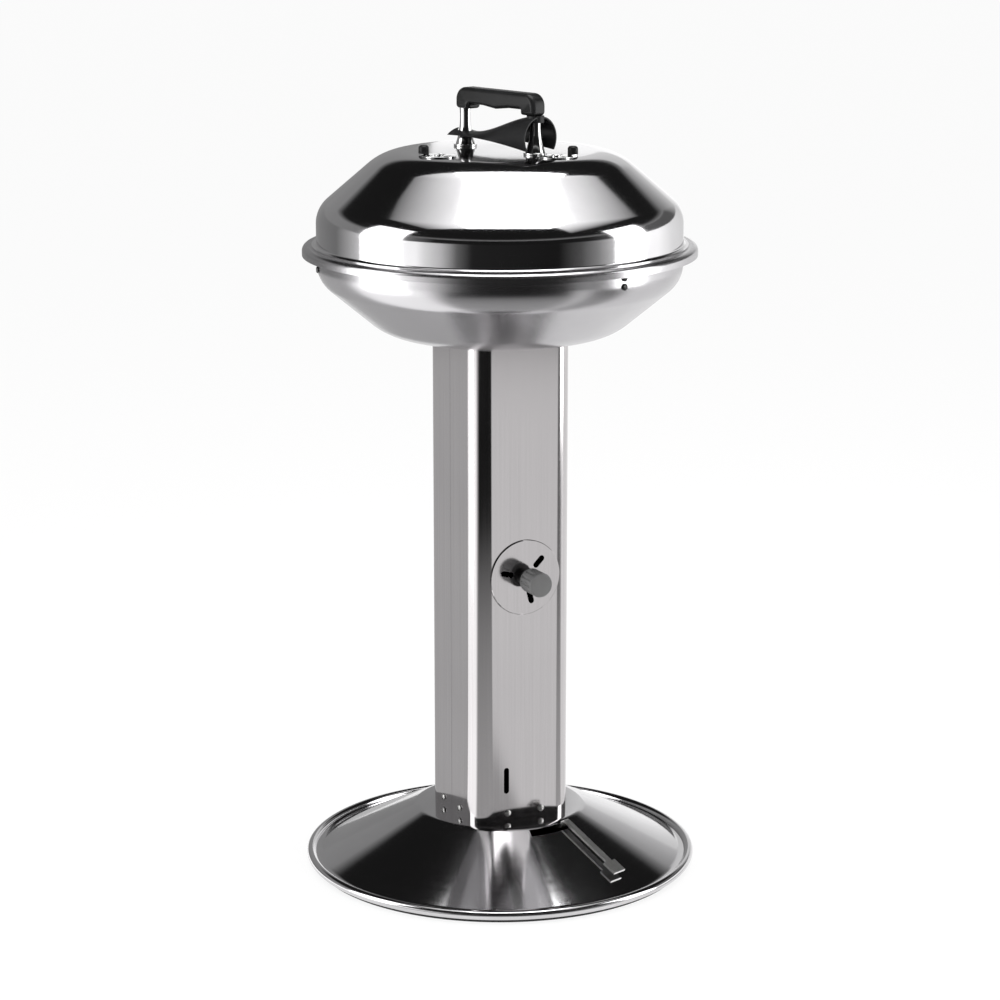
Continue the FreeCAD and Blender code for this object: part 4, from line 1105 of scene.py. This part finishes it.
    @staticmethod
    def graded(tree: bpy.types.NodeTree, source: bpy.types.NodeSocket, span: Span,
               light: Span) -> bpy.types.NodeSocket:
        """Light that follows a value.

        Args:
            tree: nodes of the card's material.
            source: the value.
            span: the value's range.
            light: the light at both ends of that range.

        Returns:
            The light.
        """
        level = tree.nodes.new("ShaderNodeMapRange")
        level.inputs["From Min"].default_value, level.inputs["From Max"].default_value = span
        level.inputs["To Min"].default_value, level.inputs["To Max"].default_value = light
        tree.links.new(source, level.inputs["Value"])
        return level.outputs["Result"]

    @staticmethod
    def parts_of_place(tree: bpy.types.NodeTree) -> bpy.types.NodeOutputs:
        """Coordinates of a point on the card itself."""
        place = tree.nodes.new("ShaderNodeTexCoord")
        parts = tree.nodes.new("ShaderNodeSeparateXYZ")
        tree.links.new(place.outputs["Object"], parts.inputs["Vector"])
        return parts.outputs

    @staticmethod
    def worked(tree: bpy.types.NodeTree, operation: str, one: bpy.types.NodeSocket,
               two: bpy.types.NodeSocket) -> bpy.types.NodeSocket:
        """Result of a calculation with two values.

        Args:
            tree: nodes of the card's material.
            operation: kind of calculation.
            one: the first value.
            two: the second value.

        Returns:
            The result.
        """
        node = tree.nodes.new("ShaderNodeMath")
        node.operation = operation
        tree.links.new(one, node.inputs[0])
        tree.links.new(two, node.inputs[1])
        return node.outputs["Value"]

    def box_side(self, name: str, side: BoxSide) -> None:
        """Make one fading card beside the overhead box."""
        Bench.clear()
        bpy.ops.mesh.primitive_plane_add(size=1.0)
        card = Bench.named(name)
        with Bench.on_points(card, lambda place: place.x > 0):
            widened = (1.0, side.outer_length / side.length, 1.0)
            bpy.ops.transform.resize(value=widened, center_override=(0, 0, 0), constraint_axis=(False, True, False))
        card.scale = (side.outer - side.inner, side.length, 1.0)
        card.rotation_euler.z = math.radians(self.camera_turn)
        card.location = self.to_right() * (side.inner + side.outer) / 2 + Vector((0, 0, self.box_height))
        tree = self.seen_in_gloss(card)
        across = self.parts_of_place(tree)["X"]
        self.lit(tree, self.graded(tree, across, (-0.5, 0.5), (side.bright, side.dark)))

    def swept(self, name: str, edge: tuple[Vector, Vector], turns: Span, light: Span) -> None:
        """Card that a straight edge sweeps about the axis.

        Args:
            name: name of the new object.
            edge: inner or lower end of the edge and its other end, both at Y = 0.
            turns: where the sweep starts and ends.
            light: the light at both ends of the sweep.
        """
        start, end = edge
        Bench.clear()
        bpy.ops.mesh.primitive_plane_add(size=1.0, location=(0.5, 0.5, 0.0))
        card = Bench.named(name)
        with Bench.on_points(card, lambda place: place.y > 0.5):
            bpy.ops.mesh.delete(type="VERT")
        with Bench.on_points(card, lambda place: place.x > 0.5):
            bpy.ops.transform.translate(value=end - Vector((1, 0, 0)))
        with Bench.on_points(card, lambda place: place.x < 0.5):
            bpy.ops.transform.translate(value=start)
        span = math.radians(turns[1] - turns[0])
        with Bench.editing(card):
            bpy.ops.mesh.spin(steps=self.sweep_steps, angle=-span, center=(0, 0, 0), axis=(0, 0, 1))
        card.rotation_euler.z = math.radians(self.camera_turn + turns[0] - 90)
        tree = self.seen_in_gloss(card)
        parts = self.parts_of_place(tree)
        tone = self.graded(tree, self.worked(tree, "ARCTAN2", parts["Y"], parts["X"]), (0.0, span), light)
        squares = [self.worked(tree, "MULTIPLY", parts[axis], parts[axis]) for axis in ("X", "Y")]
        glow = self.graded(tree, self.worked(tree, "ADD", *squares),
                           (self.floor_start ** 2, self.foot_glow_reach ** 2), (self.foot_glow, 0.0))
        self.lit(tree, self.worked(tree, "MAXIMUM", tone, glow))

    def cards(self) -> None:
        """Ceiling, fading sides of the overhead box, and a room that is dark behind the camera."""
        self.ceiling()
        for i, side in enumerate(self.box_sides):
            self.box_side(f"box_side_{i}", side)
        low, high = self.card_clear, self.ceiling_height - self.card_clear
        inner, middle, outer, ledge, top = (
            Vector((radius, 0, height)) for radius, height in (
                (self.floor_start, low), (self.floor_break, low), (self.room_radius, low),
                (self.room_radius, self.wall_break), (self.room_radius, high)))
        rings = {"near_floor": ((inner, middle), self.near_floor), "far_floor": ((middle, outer), self.far_floor),
                 "low_wall": ((outer, ledge), self.far_floor), "high_wall": ((ledge, top), self.high_walls)}
        for ring, (edge, tones) in rings.items():
            for i, ((first, bright), (last, dark)) in enumerate(zip(tones, tones[1:])):
                self.swept(f"{ring}_{i}", edge, (first, last), (bright, dark))

    def camera(self) -> None:
        """Camera at the photograph's viewing angle."""
        data = bpy.data.cameras.new("view")
        data.lens = self.lens
        data.shift_y = self.lift
        camera = bpy.data.objects.new("view", data)
        camera.location = self.toward_viewer() * self.camera_distance + Vector((0, 0, self.camera_height))
        look = self.toward_viewer() * -math.cos(math.radians(self.camera_pitch))
        look.z = -math.sin(math.radians(self.camera_pitch))
        camera.rotation_euler = look.to_track_quat("-Z", "Y").to_euler()
        bpy.context.scene.collection.objects.link(camera)
        bpy.context.scene.camera = camera


def main() -> None:
    """Build every sub-assembly, dress it and set the studio."""
    logging.basicConfig(level=logging.INFO)
    wardrobe = Wardrobe()
    for assembly in (SpunLid(), SpunBowl(), DomedBase(), ChimneyColumn(), SmoothPieces()):
        assembly.build(wardrobe)
    wardrobe.dress_rest()
    Studio().build()
    bpy.context.scene.view_settings.view_transform = "Standard"


if __name__ == "__main__":
    main()
